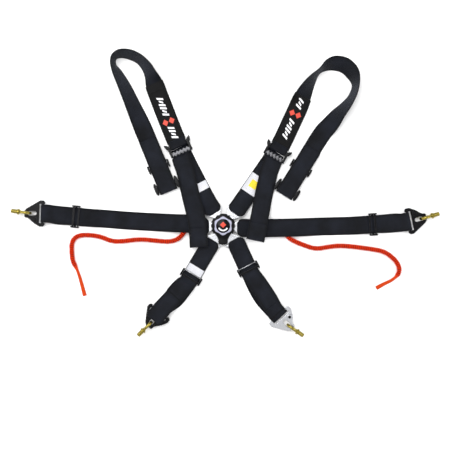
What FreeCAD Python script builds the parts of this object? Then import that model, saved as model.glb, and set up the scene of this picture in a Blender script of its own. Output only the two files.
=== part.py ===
import FreeCAD, Part
import math
import os

# Six-point racing harness, laid out flat with its rotary buckle at the origin.
# Millimetres. +Z up from the floor, +X towards the wearer's left lap belt, +Y towards the shoulder belts.

Vector = FreeCAD.Vector
os.makedirs("parts", exist_ok=True)

# ---- driving dimensions -------------------------------------------------------------------------

WEB_WIDTH = 50.0            # two-inch webbing
WEB_THICKNESS = 1.4
GAP = 0.4                   # air between pieces that move past each other
FLOOR = 0.3                 # underside of what lies on the floor

KNOB_RADIUS = 33.0
KNOB_LOBES = 12
KNOB_BASE = 21.0
KNOB_HEIGHT = 11.0
KNOB_DOME = 90.0            # radius of the knob's domed shoulder
INSERT_THICKNESS = 1.6
INSERT_RADIUS = 25.4
BADGE_RADIUS = 19.0
BADGE_HEIGHT = 3.2
BADGE_DOME = 62.0
SPINDLE_RADIUS = 5.0
RUNNING_FIT = 0.05

PAD_THICKNESS = 2.6
BACK_PLATE_THICKNESS = 2.0
HOUSING_RADIUS = 31.0
HOUSING_BASE = FLOOR + PAD_THICKNESS + BACK_PLATE_THICKNESS
HOUSING_TOP = KNOB_BASE - 0.6
HOUSING_BORE = 24.5         # room for the cam inside the housing
CAM_BASE = 15.6
CAM_THICKNESS = 2.4
CAM_RADIUS = 24.0
PIN_RADIUS = 3.0
PIN_CIRCLE = 19.5           # locking pins stand on this radius
TAIL_BLOCK_REACH = 49.0     # the lower block of the housing, towards the leg belts
TAIL_BLOCK_WIDTH = 33.0
BLOCK_TOP = 16.0

TONGUE_THICKNESS = 2.6
TONGUE_MIDDLE = 10.8        # height of the tongues' middle plane
TONGUE_TIP = 12.0
TONGUE_NECK = 9.0           # half width of the nose
TONGUE_SHOULDER = 23.0      # half width at the webbing bar
TONGUE_BAR = 54.0           # centre of the webbing bar from the buckle's centre
TONGUE_END = 57.0

HOOK_THICKNESS = 3.0
HOOK_BASE = 9.6
HOOK_MIDDLE = HOOK_BASE + HOOK_THICKNESS / 2
HOOK_BAR = 6.0              # length of the webbing bar's section along the hook
MOUTH_HALF = 5.5
GATE_THICKNESS = 2.2
GATE_PIVOT = (21.0, 18.0)
FOLD_INNER = 3.8            # inside radius of a webbing fold round a bar
FOLD_MIDDLE = FOLD_INNER + WEB_THICKNESS / 2

EYE_RADIUS = 13.0           # middle radius of the eyebolt's ring
EYE_WIRE = 3.75
EYE_CENTRE = 45.5           # along the hook from its webbing bar
EYE_HEIGHT = FLOOR + EYE_RADIUS + EYE_WIRE
EYE_SWIVEL = 33.5           # where the ring's wire stands in the hook's mouth
BOLT_RADIUS = 5.5565        # 7/16 inch shank
BOLT_START = 68.0
BOLT_END = 84.0
COLLAR_RADIUS = 8.0

SLIDE_LENGTH = 22.0         # three-bar slide, along the webbing
SLIDE_HALF_WIDTH = 31.0
SLIDE_RAIL = 4.0
SLIDE_LAYERS = (3.2, 5.0, 6.8)      # middle heights of the three webbing layers that it holds
SLIDE_TOP = 9.9

CORD_RADIUS = 6.25


# ---- shared shapes ------------------------------------------------------------------------------

def save(node, shape):
    """Write one sub-part under its own name."""
    shape.exportStep("parts/" + node + ".step")


def ahead(heading):
    """Unit vector in plan at a heading in degrees."""
    return Vector(math.cos(math.radians(heading)), math.sin(math.radians(heading)), 0)


def placed(shape, x, y, heading):
    """A shape drawn along +X from the origin, turned to a heading and moved to a place."""
    moved = shape.copy()
    moved.rotate(Vector(0, 0, 0), Vector(0, 0, 1), heading)
    moved.translate(Vector(x, y, 0))
    return moved


def box(x0, x1, y0, y1, z0, z1):
    return Part.makeBox(x1 - x0, y1 - y0, z1 - z0, Vector(x0, y0, z0))


def post(radius, x, y, z0, z1):
    return Part.makeCylinder(radius, z1 - z0, Vector(x, y, z0))


def plate(points, z0, z1):
    """A flat plate from a closed outline."""
    outline = [Vector(x, y, z0) for x, y in points]
    face = Part.Face(Part.makePolygon(outline + outline[:1]))
    return face.extrude(Vector(0, 0, z1 - z0))


def rounded(shape, radius, keep):
    """Round the upright edges whose place passes the keep test."""
    edges = []
    for edge in shape.Edges:
        start, end = edge.Vertexes[0].Point, edge.Vertexes[-1].Point
        upright = abs(start.x - end.x) < 1e-6 and abs(start.y - end.y) < 1e-6
        if upright and keep(start.x, start.y):
            edges.append(edge)
    return shape.makeFillet(radius, edges)


def section(x, y, z, heading, roll, width, thickness):
    """Cross-section of a strap: a rectangle across the heading, rolled about it."""
    forward = ahead(heading)
    level = Vector(-forward.y, forward.x, 0)
    across = level * math.cos(math.radians(roll)) + Vector(0, 0, 1) * math.sin(math.radians(roll))
    out = forward.cross(across)
    middle = Vector(x, y, z)
    corners = [
        middle + across * (a * width / 2) + out * (b * thickness / 2)
        for a, b in ((-1, -1), (1, -1), (1, 1), (-1, 1))
    ]
    return Part.makePolygon(corners + corners[:1])


def ribbon(stations, width=WEB_WIDTH, thickness=WEB_THICKNESS):
    """A strap through stations of (x, y, height of its middle, heading, roll)."""
    wires = [section(*station, width, thickness) for station in stations]
    return Part.makeLoft(wires, True, True)


def on_edge(x, y, heading, roll):
    """A station of a strap that stands on its lower edge."""
    lift = WEB_WIDTH / 2 * abs(math.sin(math.radians(roll)))
    tilt = WEB_THICKNESS / 2 * abs(math.cos(math.radians(roll)))
    return (x, y, FLOOR + lift + tilt, heading, roll)


def along(x, y, heading, reach, z):
    """A level station that lies a reach ahead of a place."""
    spot = Vector(x, y, 0) + ahead(heading) * reach
    return (spot.x, spot.y, z, heading, 0)


def fold(x, y, z, heading, width=WEB_WIDTH):
    """Webbing turned round a bar: a tube across the heading."""
    forward = ahead(heading)
    level = Vector(-forward.y, forward.x, 0)
    start = Vector(x, y, z) - level * (width / 2)
    outer = Part.makeCylinder(FOLD_INNER + WEB_THICKNESS, width, start, level)
    inner = Part.makeCylinder(FOLD_INNER, width, start, level)
    return outer.cut(inner)


def fused(shapes):
    """Several overlapping shapes as one solid."""
    whole = shapes[0].multiFuse(shapes[1:])
    return whole.removeSplitter()


# ---- rotary buckle ------------------------------------------------------------------------------

TONGUES = {                 # heading of each tongue from the buckle's centre
    "left_shoulder": 52.0,
    "right_shoulder": 122.0,
    "left_lap": -4.0,
    "right_lap": 182.0,
    "left_leg": 302.0,
    "right_leg": 238.0,
}
TONGUE_LOW = TONGUE_MIDDLE - TONGUE_THICKNESS / 2
TONGUE_HIGH = TONGUE_MIDDLE + TONGUE_THICKNESS / 2


def lobed_outline(radius, depth, lobes, steps=8):
    """Closed outline whose radius waves between its root and its lobes."""
    count = lobes * steps
    points = []
    for step in range(count):
        angle = 2 * math.pi * step / count
        reach = radius - depth / 2 + depth / 2 * math.cos(lobes * angle - math.pi * lobes / 2)
        points.append((reach * math.cos(angle), reach * math.sin(angle)))
    return points


def smooth_plate(points, z0, z1):
    """A plate whose outline is a smooth closed curve through the points."""
    curve = Part.BSplineCurve()
    curve.interpolate([Vector(x, y, z0) for x, y in points], PeriodicFlag=True)
    face = Part.Face(Part.Wire([curve.toShape()]))
    return face.extrude(Vector(0, 0, z1 - z0))


def block_outline():
    """Outline of the lower block, which narrows between the two leg belts."""
    half, reach = TAIL_BLOCK_WIDTH / 2, TAIL_BLOCK_REACH
    return [(-half, -20), (-half, -30), (-0.78 * half, -38), (-0.4 * half, -reach),
            (0.4 * half, -reach), (0.78 * half, -38), (half, -30), (half, -20)]


def buckle_back_pad():
    """Padded backing that keeps the metal off the wearer."""
    disc = post(HOUSING_RADIUS + 3, 0, 0, FLOOR, FLOOR + PAD_THICKNESS)
    block = plate(block_outline(), FLOOR, FLOOR + PAD_THICKNESS)
    return fused([disc, block])


def buckle_back_plate():
    """Steel plate that the housing is riveted to."""
    low, high = FLOOR + PAD_THICKNESS, HOUSING_BASE
    plate_disc = post(HOUSING_RADIUS, 0, 0, low, high)
    socket = post(SPINDLE_RADIUS + RUNNING_FIT, 0, 0, low, high)
    rivets = [post(2.0, x, y, low, high) for x, y in rivet_places()]
    return plate_disc.cut(socket.multiFuse(rivets))


def rivet_places():
    """Rivets stand between neighbouring tongues, near the rim."""
    headings = [87.0, 152.0, 210.0, 330.0]
    return [(28.0 * ahead(h).x, 28.0 * ahead(h).y) for h in headings]


def buckle_housing():
    """Cast case with six tongue slots, a cam chamber and a lower block."""
    case = post(HOUSING_RADIUS, 0, 0, HOUSING_BASE, HOUSING_TOP)
    body = fused([case, plate(block_outline(), HOUSING_BASE, BLOCK_TOP)])
    cuts = [post(HOUSING_BORE, 0, 0, CAM_BASE - GAP, CAM_BASE + CAM_THICKNESS + GAP)]
    cuts.append(post(SPINDLE_RADIUS + RUNNING_FIT, 0, 0, HOUSING_BASE, HOUSING_TOP))
    for heading in TONGUES.values():
        slot = box(TONGUE_TIP - 0.6, 80, -TONGUE_NECK - 0.5, TONGUE_NECK + 0.5, TONGUE_LOW - GAP, TONGUE_HIGH + GAP)
        cuts.append(placed(slot, 0, 0, heading))
        flare = plate([(26, -12), (80, -60), (80, 60), (26, 12)], TONGUE_LOW - GAP, TONGUE_HIGH + GAP)
        cuts.append(placed(flare, 0, 0, heading))
        spot = ahead(heading) * PIN_CIRCLE
        cuts.append(post(PIN_RADIUS + 0.1, spot.x, spot.y, TONGUE_LOW - 2.4, CAM_BASE))
    cuts += [post(2.0, x, y, HOUSING_BASE, HOUSING_BASE + 3.5) for x, y in rivet_places()]
    return body.cut(cuts[0].multiFuse(cuts[1:]))


def housing_rivets():
    """Rivets from the back plate up into the housing."""
    low, high = FLOOR + PAD_THICKNESS, HOUSING_BASE + 3.5
    return Part.makeCompound([post(1.95, x, y, low, high) for x, y in rivet_places()])


def locking_pins():
    """One spring-loaded pin through each tongue's hole."""
    pins = []
    for heading in TONGUES.values():
        spot = ahead(heading) * PIN_CIRCLE
        pins.append(post(PIN_RADIUS, spot.x, spot.y, TONGUE_LOW - 1.6, TONGUE_HIGH + 0.5))
    return Part.makeCompound(pins)


def pin_springs():
    """A small coil over each locking pin, under the cam."""
    springs = []
    wire_radius = 0.35
    low, high = TONGUE_HIGH + 1.0, CAM_BASE - 0.5
    for heading in TONGUES.values():
        spot = ahead(heading) * PIN_CIRCLE
        helix = Part.makeHelix((high - low) / 2.5, high - low, 2.2)
        ring = Part.Wire([Part.Circle(Vector(2.2, 0, 0), Vector(0, 1, 0), wire_radius).toShape()])
        coil = Part.Wire(helix.Edges).makePipeShell([ring], True, True)
        coil.translate(Vector(spot.x, spot.y, low))
        springs.append(coil)
    return Part.makeCompound(springs)


def cam_plate():
    """Lobed cam that lifts the pins when the knob turns."""
    disc = smooth_plate(lobed_outline(CAM_RADIUS, 2.0, 6), CAM_BASE, CAM_BASE + CAM_THICKNESS)
    return disc.cut(post(SPINDLE_RADIUS, 0, 0, CAM_BASE, CAM_BASE + CAM_THICKNESS))


def knob_spindle():
    """Shaft from the back plate's socket up into the knob."""
    return post(SPINDLE_RADIUS, 0, 0, FLOOR + PAD_THICKNESS + 0.2, KNOB_BASE + 6)


def knob_grip():
    """Moulded knob with finger lobes and a domed shoulder."""
    top = KNOB_BASE + KNOB_HEIGHT
    body = smooth_plate(lobed_outline(KNOB_RADIUS, 2.2, KNOB_LOBES), KNOB_BASE, top)
    dome = Part.makeSphere(KNOB_DOME, Vector(0, 0, top + 2.0 - KNOB_DOME))
    body = body.common(dome)
    seat = smooth_plate(lobed_outline(INSERT_RADIUS + 0.1, 3.0, 6), top - 2.0, top + 3)
    bore = post(SPINDLE_RADIUS, 0, 0, KNOB_BASE, KNOB_BASE + 6)
    return body.cut(seat.fuse(bore))


def knob_insert():
    """Bright six-lobed plate let into the top of the knob."""
    low = KNOB_BASE + KNOB_HEIGHT - 2.0
    return smooth_plate(lobed_outline(INSERT_RADIUS, 3.0, 6), low, low + INSERT_THICKNESS)


def knob_badge():
    """Domed cap in the middle of the insert."""
    low = KNOB_BASE + KNOB_HEIGHT - 2.0 + INSERT_THICKNESS
    disc = post(BADGE_RADIUS, 0, 0, low, low + BADGE_HEIGHT)
    dome = Part.makeSphere(BADGE_DOME, Vector(0, 0, low + BADGE_HEIGHT - BADGE_DOME))
    return disc.common(dome)


def tongue():
    """Latch tongue along +X: a nose with a pin hole and a wide end with a webbing slot."""
    outline = [
        (TONGUE_TIP, -4.2), (TONGUE_TIP + 5, -7), (30, -TONGUE_NECK),
        (TONGUE_BAR - 6.5, -TONGUE_SHOULDER), (TONGUE_END, -TONGUE_SHOULDER),
        (TONGUE_END, TONGUE_SHOULDER), (TONGUE_BAR - 6.5, TONGUE_SHOULDER),
        (30, TONGUE_NECK), (TONGUE_TIP + 5, 7), (TONGUE_TIP, 4.2),
    ]
    body = plate(outline, TONGUE_LOW, TONGUE_HIGH)
    body = rounded(body, 2.2, lambda x, y: x > TONGUE_BAR - 7)
    slot = box(TONGUE_BAR - 6, TONGUE_BAR - 3, -20.5, 20.5, TONGUE_LOW, TONGUE_HIGH)
    hole = post(PIN_RADIUS + 0.6, PIN_CIRCLE, 0, TONGUE_LOW, TONGUE_HIGH)
    return body.cut(slot.fuse(hole))


# ---- belt ends: hook, gate and eyebolt, drawn along +X from the hook's webbing bar ----------------

def hook():
    """Snap hook stamped from plate: webbing slot, eyebolt mouth and a stud for the gate."""
    outline = [
        (-6, -31), (-2, -36), (7, -36), (44, -13), (49.5, -6), (49.5, 10), (46, 13), (39, 13),
        (28, 16), (24, 27), (8, 36), (-2, 36), (-6, 31),
    ]
    body = plate(outline, HOOK_BASE, HOOK_BASE + HOOK_THICKNESS)
    body = rounded(body, 2.4, lambda x, y: x < 0 or abs(x) > 43)
    slot = box(HOOK_BAR / 2, 9.5, -26, 26, HOOK_BASE, HOOK_BASE + HOOK_THICKNESS)
    relief = box(-7, -HOOK_BAR / 2, -26, 26, HOOK_BASE, HOOK_BASE + HOOK_THICKNESS)
    mouth = box(22, 41.5 - MOUTH_HALF, -MOUTH_HALF, MOUTH_HALF, HOOK_BASE, HOOK_BASE + HOOK_THICKNESS)
    ends = [post(MOUTH_HALF, u, 0, HOOK_BASE, HOOK_BASE + HOOK_THICKNESS) for u in (22, 41.5 - MOUTH_HALF)]
    channel = box(28.5, 38.5, 0, 20, HOOK_BASE, HOOK_BASE + HOOK_THICKNESS)
    body = body.cut(slot.multiFuse([relief, mouth, channel] + ends))
    stud = post(2.5, *GATE_PIVOT, HOOK_BASE + HOOK_THICKNESS - 1, HOOK_BASE + HOOK_THICKNESS + GATE_THICKNESS + 1.2)
    return fused([body, stud])


def gate():
    """Sprung lever that lies on the hook and closes its mouth."""
    low = HOOK_BASE + HOOK_THICKNESS + 0.3
    outline = [(14, 14), (20, 9.5), (30, 6.5), (43, 6.0), (45, 9), (42, 12), (34, 17), (27, 24), (20, 27), (14, 22)]
    body = plate(outline, low, low + GATE_THICKNESS)
    body = rounded(body, 1.6, lambda x, y: True)
    return body.cut(post(2.5 + RUNNING_FIT, *GATE_PIVOT, low, low + GATE_THICKNESS))


def eyebolt(turn):
    """Forged eye, collar and threaded shank, turned about the place where it hangs in the mouth."""
    ring = Part.makeTorus(EYE_RADIUS, EYE_WIRE, Vector(EYE_CENTRE, 0, EYE_HEIGHT), Vector(0, 1, 0))
    middle = Vector(BOLT_START - 7.5, 0, EYE_HEIGHT)
    neck = Part.makeCylinder(5.0, 5, middle, Vector(1, 0, 0))
    collar = Part.makeCylinder(COLLAR_RADIUS, 4.5, middle + Vector(3, 0, 0), Vector(1, 0, 0))
    shank = Part.makeCylinder(BOLT_RADIUS, BOLT_END - BOLT_START + 1, middle + Vector(6.5, 0, 0), Vector(1, 0, 0))
    tip = Part.makeCone(BOLT_RADIUS, BOLT_RADIUS - 1, 1, Vector(BOLT_END, 0, EYE_HEIGHT), Vector(1, 0, 0))
    bolt = fused([ring, neck, collar, shank, tip])
    bolt.rotate(Vector(EYE_SWIVEL, 0, 0), Vector(0, 0, 1), turn)
    return bolt


def three_bar_slide():
    """Stamped slide along +X: two rails, a lower bar and two upper bars."""
    half, inner = SLIDE_LENGTH / 2, SLIDE_HALF_WIDTH - SLIDE_RAIL
    pieces = [
        box(-half, half, side - SLIDE_RAIL / 2, side + SLIDE_RAIL / 2, FLOOR, SLIDE_TOP)
        for side in (-SLIDE_HALF_WIDTH + SLIDE_RAIL / 2, SLIDE_HALF_WIDTH - SLIDE_RAIL / 2)
    ]
    pieces.append(box(-3, 3, -inner - 1, inner + 1, FLOOR, 2.1))
    pieces.append(box(-half, -half + 3.5, -inner - 1, inner + 1, 7.9, SLIDE_TOP))
    pieces.append(box(half - 8, half - 3, -inner - 1, inner + 1, 7.9, SLIDE_TOP))
    return rounded(fused(pieces), 1.5, lambda x, y: abs(abs(x) - half) < 0.01 and abs(y) > inner + 3)


# Each lap and leg belt: (tongue, stations of the main strap up to its slide as (x, y, height, heading),
# slide place and heading, hook's bar place and heading, eyebolt turn against the hook)
LAP_HUMP = 14.6             # the lap straps pass over the release cords
ON_FLOOR = FLOOR + WEB_THICKNESS / 2
ENTRY = SLIDE_LAYERS[2]
BELTS = {
    "right_lap": {
        "strap": [
            (-82, 3.0, 13.6, 182), (-96, 6.0, LAP_HUMP, 177), (-134, 7.5, LAP_HUMP, 177),
            (-210, 11.4, ON_FLOOR, 177), (-333, 20.0, ON_FLOOR, 176), (-360, 21.7, ENTRY, 175),
        ],
        "slide": (-407.0, 25.6, 175.0),
        "bar": (-496.0, 34.0, 178.0),
        "bolt_turn": -5.0,
    },
    "left_lap": {
        "strap": [
            (84, -6.4, 12.6, -2), (150, -5.6, LAP_HUMP, 1), (198, -4.4, LAP_HUMP, 2),
            (272, -1.6, ON_FLOOR, 2), (338, 0.0, ON_FLOOR, 2), (366, 1.2, ENTRY, 3),
        ],
        "slide": (413.5, 4.2, 4.0),
        "bar": (510.0, 12.6, 12.0),
        "bolt_turn": 4.0,
    },
    "right_leg": {
        "strap": [(-43.5, -65.0, 7.6, 239), (-66.0, -102.5, ENTRY, 239)],
        "slide": (-88.3, -140.5, 238.0),
        "bar": (-176.0, -238.0, 231.0),
        "bolt_turn": -6.0,
    },
    "left_leg": {
        "strap": [(42.0, -60.0, 7.6, 295), (53.0, -84.0, ENTRY, 293)],
        "slide": (69.5, -118.5, 297.0),
        "bar": (155.0, -247.0, 313.0),
        "bolt_turn": 12.0,
    },
}
LAYER_REACH = 20.0          # how far the end strap runs inside its slide at rest


def tongue_fold(name):
    """The sewn fold round a tongue's bar, as a solid block of two layers."""
    forward = ahead(TONGUES[name]) * TONGUE_BAR
    return fold(forward.x, forward.y, TONGUE_MIDDLE, TONGUES[name], 2 * 20.0)


def tongue_layer(name, side):
    """The station where a layer leaves the fold, above or below the tongue."""
    return along(0, 0, TONGUES[name], TONGUE_BAR, TONGUE_MIDDLE + side * FOLD_MIDDLE)


def main_strap(name):
    """Belt from its tongue to its slide, where it ends between the bars."""
    belt = BELTS[name]
    x, y, heading = belt["slide"]
    run = [(sx, sy, z, h, 0) for sx, sy, z, h in belt["strap"]]
    through = along(x, y, heading, 6, ENTRY)
    start = tongue_layer(name, 1)
    near = along(0, 0, TONGUES[name], TONGUE_BAR + 10, TONGUE_MIDDLE + FOLD_MIDDLE)
    tail = ribbon([start, near] + run + [through])
    return fused([tongue_fold(name), tail])


def end_strap(name):
    """Doubled webbing from the slide round the hook's bar."""
    belt = BELTS[name]
    x, y, heading = belt["slide"]
    bar_x, bar_y, bar_heading = belt["bar"]
    layers = [fold(bar_x, bar_y, HOOK_MIDDLE, bar_heading)]
    for side, level in ((1, SLIDE_LAYERS[1]), (-1, SLIDE_LAYERS[0])):
        layers.append(ribbon([
            along(x, y, heading, -LAYER_REACH, level),
            along(x, y, heading, 12, level),
            along(bar_x, bar_y, bar_heading, -22, HOOK_MIDDLE + side * (FOLD_MIDDLE - 1.2)),
            along(bar_x, bar_y, bar_heading, 0, HOOK_MIDDLE + side * FOLD_MIDDLE),
        ]))
    return fused(layers)


# ---- shoulder belts -----------------------------------------------------------------------------

ADJUSTER_HALF = 32.0
ADJUSTER_BAR_HEIGHT = 7.2   # the smooth bar that the upper strap is sewn round
ADJUSTER_GRIP = 21.0        # from the smooth bar to the knurled bar
SMOOTH_RADIUS = 3.2
TAIL_OVER = 21.4            # height of the free tail where it crosses the lap belt
UPPER_LAYER = 4.0
FLAP_LAYER = 11.6

SHOULDERS = {
    "right": {
        "lower": [(-44.0, 66.0, 8.0, 116), (-64.0, 107.0, ON_FLOOR, 116.5)],
        "adjuster": (-122.5, 221.0, 114.0),
        "upper": [(-140.0, 261.5, UPPER_LAYER, 112.5), (-182.5, 371.0, UPPER_LAYER, 110.5)],
        "loop": [
            (-190.5, 392.0, 112, -14), (-198.5, 412.2, 114, -42), (-208.5, 433.0, 121, -54),
            (-229.0, 455.5, 141, -64), (-254.0, 467.5, 163, -68), (-281.0, 470.0, 186, -76),
            (-297.0, 462.0, 232, -84), (-300.0, 446.0, 271, -80), (-290.5, 424.0, 292, -64),
            (-270.9, 385.0, 294, -50), (-245.7, 328.0, 293.5, -36), (-227.0, 284.0, 293, -18),
        ],
        "landing": (-214.0, 252.0, 293.0),
        "end": (-150.5, 98.5, 292.5),
        "slide_back": 70.0,
        "flap": 150.0,
        "tail": [
            (-115.5, 190.0, 4.4, -69), (-104.0, 150.0, 4.6, -71), (-87.0, 75.0, 8.0, -76),
            (-77.0, 38.0, TAIL_OVER, -78), (-68.5, -6.0, TAIL_OVER, -84), (-67.0, -52.0, TAIL_OVER - 1, -86),
        ],
    },
    "left": {
        "lower": [(45.0, 60.0, 8.0, 54), (76.0, 103.0, ON_FLOOR, 54.5)],
        "adjuster": (150.0, 207.5, 60.0),
        "upper": [(170.5, 247.0, UPPER_LAYER, 63.5), (205.5, 323.0, UPPER_LAYER, 66)],
        "loop": [
            (214.0, 343.0, 67, 12), (226.0, 369.0, 64, 34), (243.0, 398.0, 57, 60),
            (264.0, 423.5, 45, 80), (284.0, 439.0, 26, 64), (306.0, 445.0, 4, 50),
            (333.0, 439.0, -26, 48), (353.0, 419.0, -60, 54), (362.0, 391.0, -86, 74),
            (355.5, 361.0, -111, 72), (338.0, 333.0, -126, 60), (314.6, 306.0, -130, 42),
            (295.0, 280.0, -126, 20),
        ],
        "landing": (275.5, 257.6, -122.0),
        "end": (169.5, 88.0, -122.0),
        "slide_back": 84.0,
        "flap": 146.0,
        "tail": [
            (138.0, 181.0, 4.4, -110), (127.0, 150.0, 4.6, -108), (111.5, 84.0, 8.0, -104),
            (102.5, 38.0, TAIL_OVER, -103), (94.0, -6.0, TAIL_OVER, -103), (88.0, -36.0, TAIL_OVER - 1, -103),
        ],
    },
}
STRAP_AT_SLIDE = SLIDE_LAYERS[1]
END_BAR_HEIGHT = 9.0


def lower_strap(side):
    """Short shoulder strap from its tongue to past the adjuster."""
    name = side + "_shoulder"
    x, y, heading = SHOULDERS[side]["adjuster"]
    run = [(sx, sy, z, h, 0) for sx, sy, z, h in SHOULDERS[side]["lower"]]
    near = along(0, 0, TONGUES[name], TONGUE_BAR + 10, TONGUE_MIDDLE + FOLD_MIDDLE)
    past = along(x, y, heading, -4, ON_FLOOR)
    return fused([tongue_fold(name), ribbon([tongue_layer(name, 1), near] + run + [past])])


def adjuster_frame():
    """Tilt-lock frame along +X from its smooth bar: two eared cheeks, a web and the bar."""
    outline = [(-25, 5), (-18, 3), (3, 3), (7, 6), (10, 11), (8.5, 12.5), (3, 11.5), (-18, 11.5), (-25, 9.5)]
    cheeks = []
    for y in (-ADJUSTER_HALF, ADJUSTER_HALF - 3):
        points = [Vector(x, y, z) for x, z in outline]
        cheeks.append(Part.Face(Part.makePolygon(points + points[:1])).extrude(Vector(0, 3, 0)))
    smooth = Part.makeCylinder(SMOOTH_RADIUS, 2 * ADJUSTER_HALF - 1, Vector(0, 0.5 - ADJUSTER_HALF, ADJUSTER_BAR_HEIGHT),
                               Vector(0, 1, 0))
    web = box(-13, -10, -ADJUSTER_HALF + 1, ADJUSTER_HALF - 1, 8.4, 10.6)
    body = fused(cheeks + [smooth, web])
    bore = Part.makeCylinder(2.6, 2 * ADJUSTER_HALF, Vector(-ADJUSTER_GRIP, -ADJUSTER_HALF, 7.2), Vector(0, 1, 0))
    return body.cut(bore)


def adjuster_bar():
    """Knurled bar that grips the webbing."""
    return Part.makeCylinder(2.6, 2 * ADJUSTER_HALF, Vector(-ADJUSTER_GRIP, -ADJUSTER_HALF, 7.2), Vector(0, 1, 0))


def strap(side):
    """Upper shoulder strap: fold at the adjuster, wrap loop, end bracket's fold and free flap."""
    belt = SHOULDERS[side]
    x, y, heading = belt["adjuster"]
    end_x, end_y, end_heading = belt["end"]
    start_z = ADJUSTER_BAR_HEIGHT - FOLD_MIDDLE + 0.4
    stations = [along(x, y, heading, 0, start_z), along(x, y, heading, 12, UPPER_LAYER)]
    stations += [(sx, sy, z, h, 0) for sx, sy, z, h in belt["upper"]]
    stations += [on_edge(*spot) for spot in belt["loop"]]
    stations.append((*belt["landing"][:2], STRAP_AT_SLIDE, belt["landing"][2], 0))
    stations.append(along(end_x, end_y, end_heading, -30, STRAP_AT_SLIDE))
    stations.append(along(end_x, end_y, end_heading, 0, END_BAR_HEIGHT - FOLD_MIDDLE))
    flap = [
        along(end_x, end_y, end_heading, 0, END_BAR_HEIGHT + FOLD_MIDDLE),
        along(end_x, end_y, end_heading, -28, FLAP_LAYER),
        along(end_x, end_y, end_heading, -belt["flap"], FLAP_LAYER),
    ]
    shapes = [
        fold(x, y, ADJUSTER_BAR_HEIGHT, heading, 46),
        ribbon(stations),
        fold(end_x, end_y, END_BAR_HEIGHT, end_heading),
        ribbon(flap),
    ]
    return fused(shapes)


def label_sleeve(side):
    """Flat sewn sleeve round the straight part of the upper strap."""
    stations = [(sx, sy, z, h, 0) for sx, sy, z, h in SHOULDERS[side]["upper"]]
    outer = ribbon(stations, WEB_WIDTH + 3.0, WEB_THICKNESS + 2.2)
    hollow = ribbon(stations, WEB_WIDTH + 0.6, WEB_THICKNESS + 0.6)
    return outer.cut(hollow)


def tail(side):
    """Free pull end that comes back over the adjuster's knurled bar and lies on the lap belt."""
    run = [(sx, sy, z, h, 0) for sx, sy, z, h in SHOULDERS[side]["tail"]]
    return ribbon(run)


def end_frame():
    """Wrap bracket along +X: a ring of four bars, the strap folds round the far one."""
    outer = box(-25, 3.0, -SLIDE_HALF_WIDTH, SLIDE_HALF_WIDTH, END_BAR_HEIGHT - 1.5, END_BAR_HEIGHT + 1.5)
    window = box(-21.5, -3.0, -26.5, 26.5, END_BAR_HEIGHT - 2, END_BAR_HEIGHT + 2)
    low_bar = box(-25, -21.5, -27, 27, END_BAR_HEIGHT - 2, END_BAR_HEIGHT + 2)
    return rounded(outer, 3, lambda x, y: True).cut(window.fuse(low_bar))


# ---- release cords ------------------------------------------------------------------------------

CORDS = {
    "right_lap": [
        (-96, 2), (-107, -16), (-121, -35), (-146, -44), (-182, -41), (-229, -36), (-281, -43), (-308, -42),
        (-336, -30), (-364, -25), (-394, -25), (-411, -34), (-418, -51), (-417, -74), (-415, -96),
        (-404, -116), (-396, -140), (-389, -166), (-382, -193),
    ],
    "left_lap": [
        (164, -8), (176, -30), (197, -43), (226, -54), (255, -64), (293, -57), (324, -54),
        (367, -58), (411, -64), (444, -70), (470, -89), (484, -108), (486, -127), (477, -140), (464, -151),
        (444, -160), (423, -172),
    ],
}


def rounded_route(points):
    """Straight runs joined by tangent arcs, each as large as its two runs allow."""
    spots = [Vector(x, y, FLOOR + CORD_RADIUS) for x, y in points]
    edges, radii, here = [], [], spots[0]
    for before, corner, after in zip(spots, spots[1:], spots[2:]):
        back, out = before - corner, after - corner
        turn = math.pi - back.getAngle(out)
        cut = 0.45 * min(back.Length, out.Length)
        radii.append(cut / math.tan(turn / 2))
        start = corner + back.normalize() * cut
        finish = corner + out.normalize() * cut
        bisector = (start + finish) * 0.5 - corner
        centre = corner + bisector.normalize() * math.hypot(cut, radii[-1])
        middle = centre + (corner - centre).normalize() * radii[-1]
        edges.append(Part.LineSegment(here, start).toShape())
        edges.append(Part.Arc(start, middle, finish).toShape())
        here = finish
    edges.append(Part.LineSegment(here, spots[-1]).toShape())
    return Part.Wire(edges), radii


def cord(name):
    """Release cord lying on the floor."""
    path, radii = rounded_route(CORDS[name])
    first = path.Edges[0]
    start = first.Vertexes[0].Point
    ring = Part.Wire([Part.Circle(start, first.tangentAt(first.FirstParameter), CORD_RADIUS).toShape()])
    tube = path.makePipeShell([ring], True, False, 1)
    ideal = math.pi * CORD_RADIUS ** 2 * path.Length
    print(name, "cord", round(path.Length), "mm, least radius", round(min(radii), 1),
          "mm, volume over section times length", round(tube.Volume / ideal, 4))
    return tube


# ---- writing every sub-part ---------------------------------------------------------------------

ROOT_AND_KNOB = [
    buckle_back_pad, buckle_back_plate, buckle_housing, housing_rivets, locking_pins, pin_springs,
    cam_plate, knob_spindle, knob_grip, knob_insert, knob_badge,
]
for make in ROOT_AND_KNOB:
    save(make.__name__, make())

for name, heading in TONGUES.items():
    save(name + "_tongue", placed(tongue(), 0, 0, heading))

for name, belt in BELTS.items():
    save(name + "_strap", main_strap(name))
    save(name + "_slide", placed(three_bar_slide(), *belt["slide"]))
    save(name + "_end_strap", end_strap(name))
    save(name + "_hook", placed(hook(), *belt["bar"]))
    save(name + "_gate", placed(gate(), *belt["bar"]))
    save(name + "_eyebolt", placed(eyebolt(belt["bolt_turn"]), *belt["bar"]))

for name in CORDS:
    save(name + "_cord", cord(name))

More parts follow.
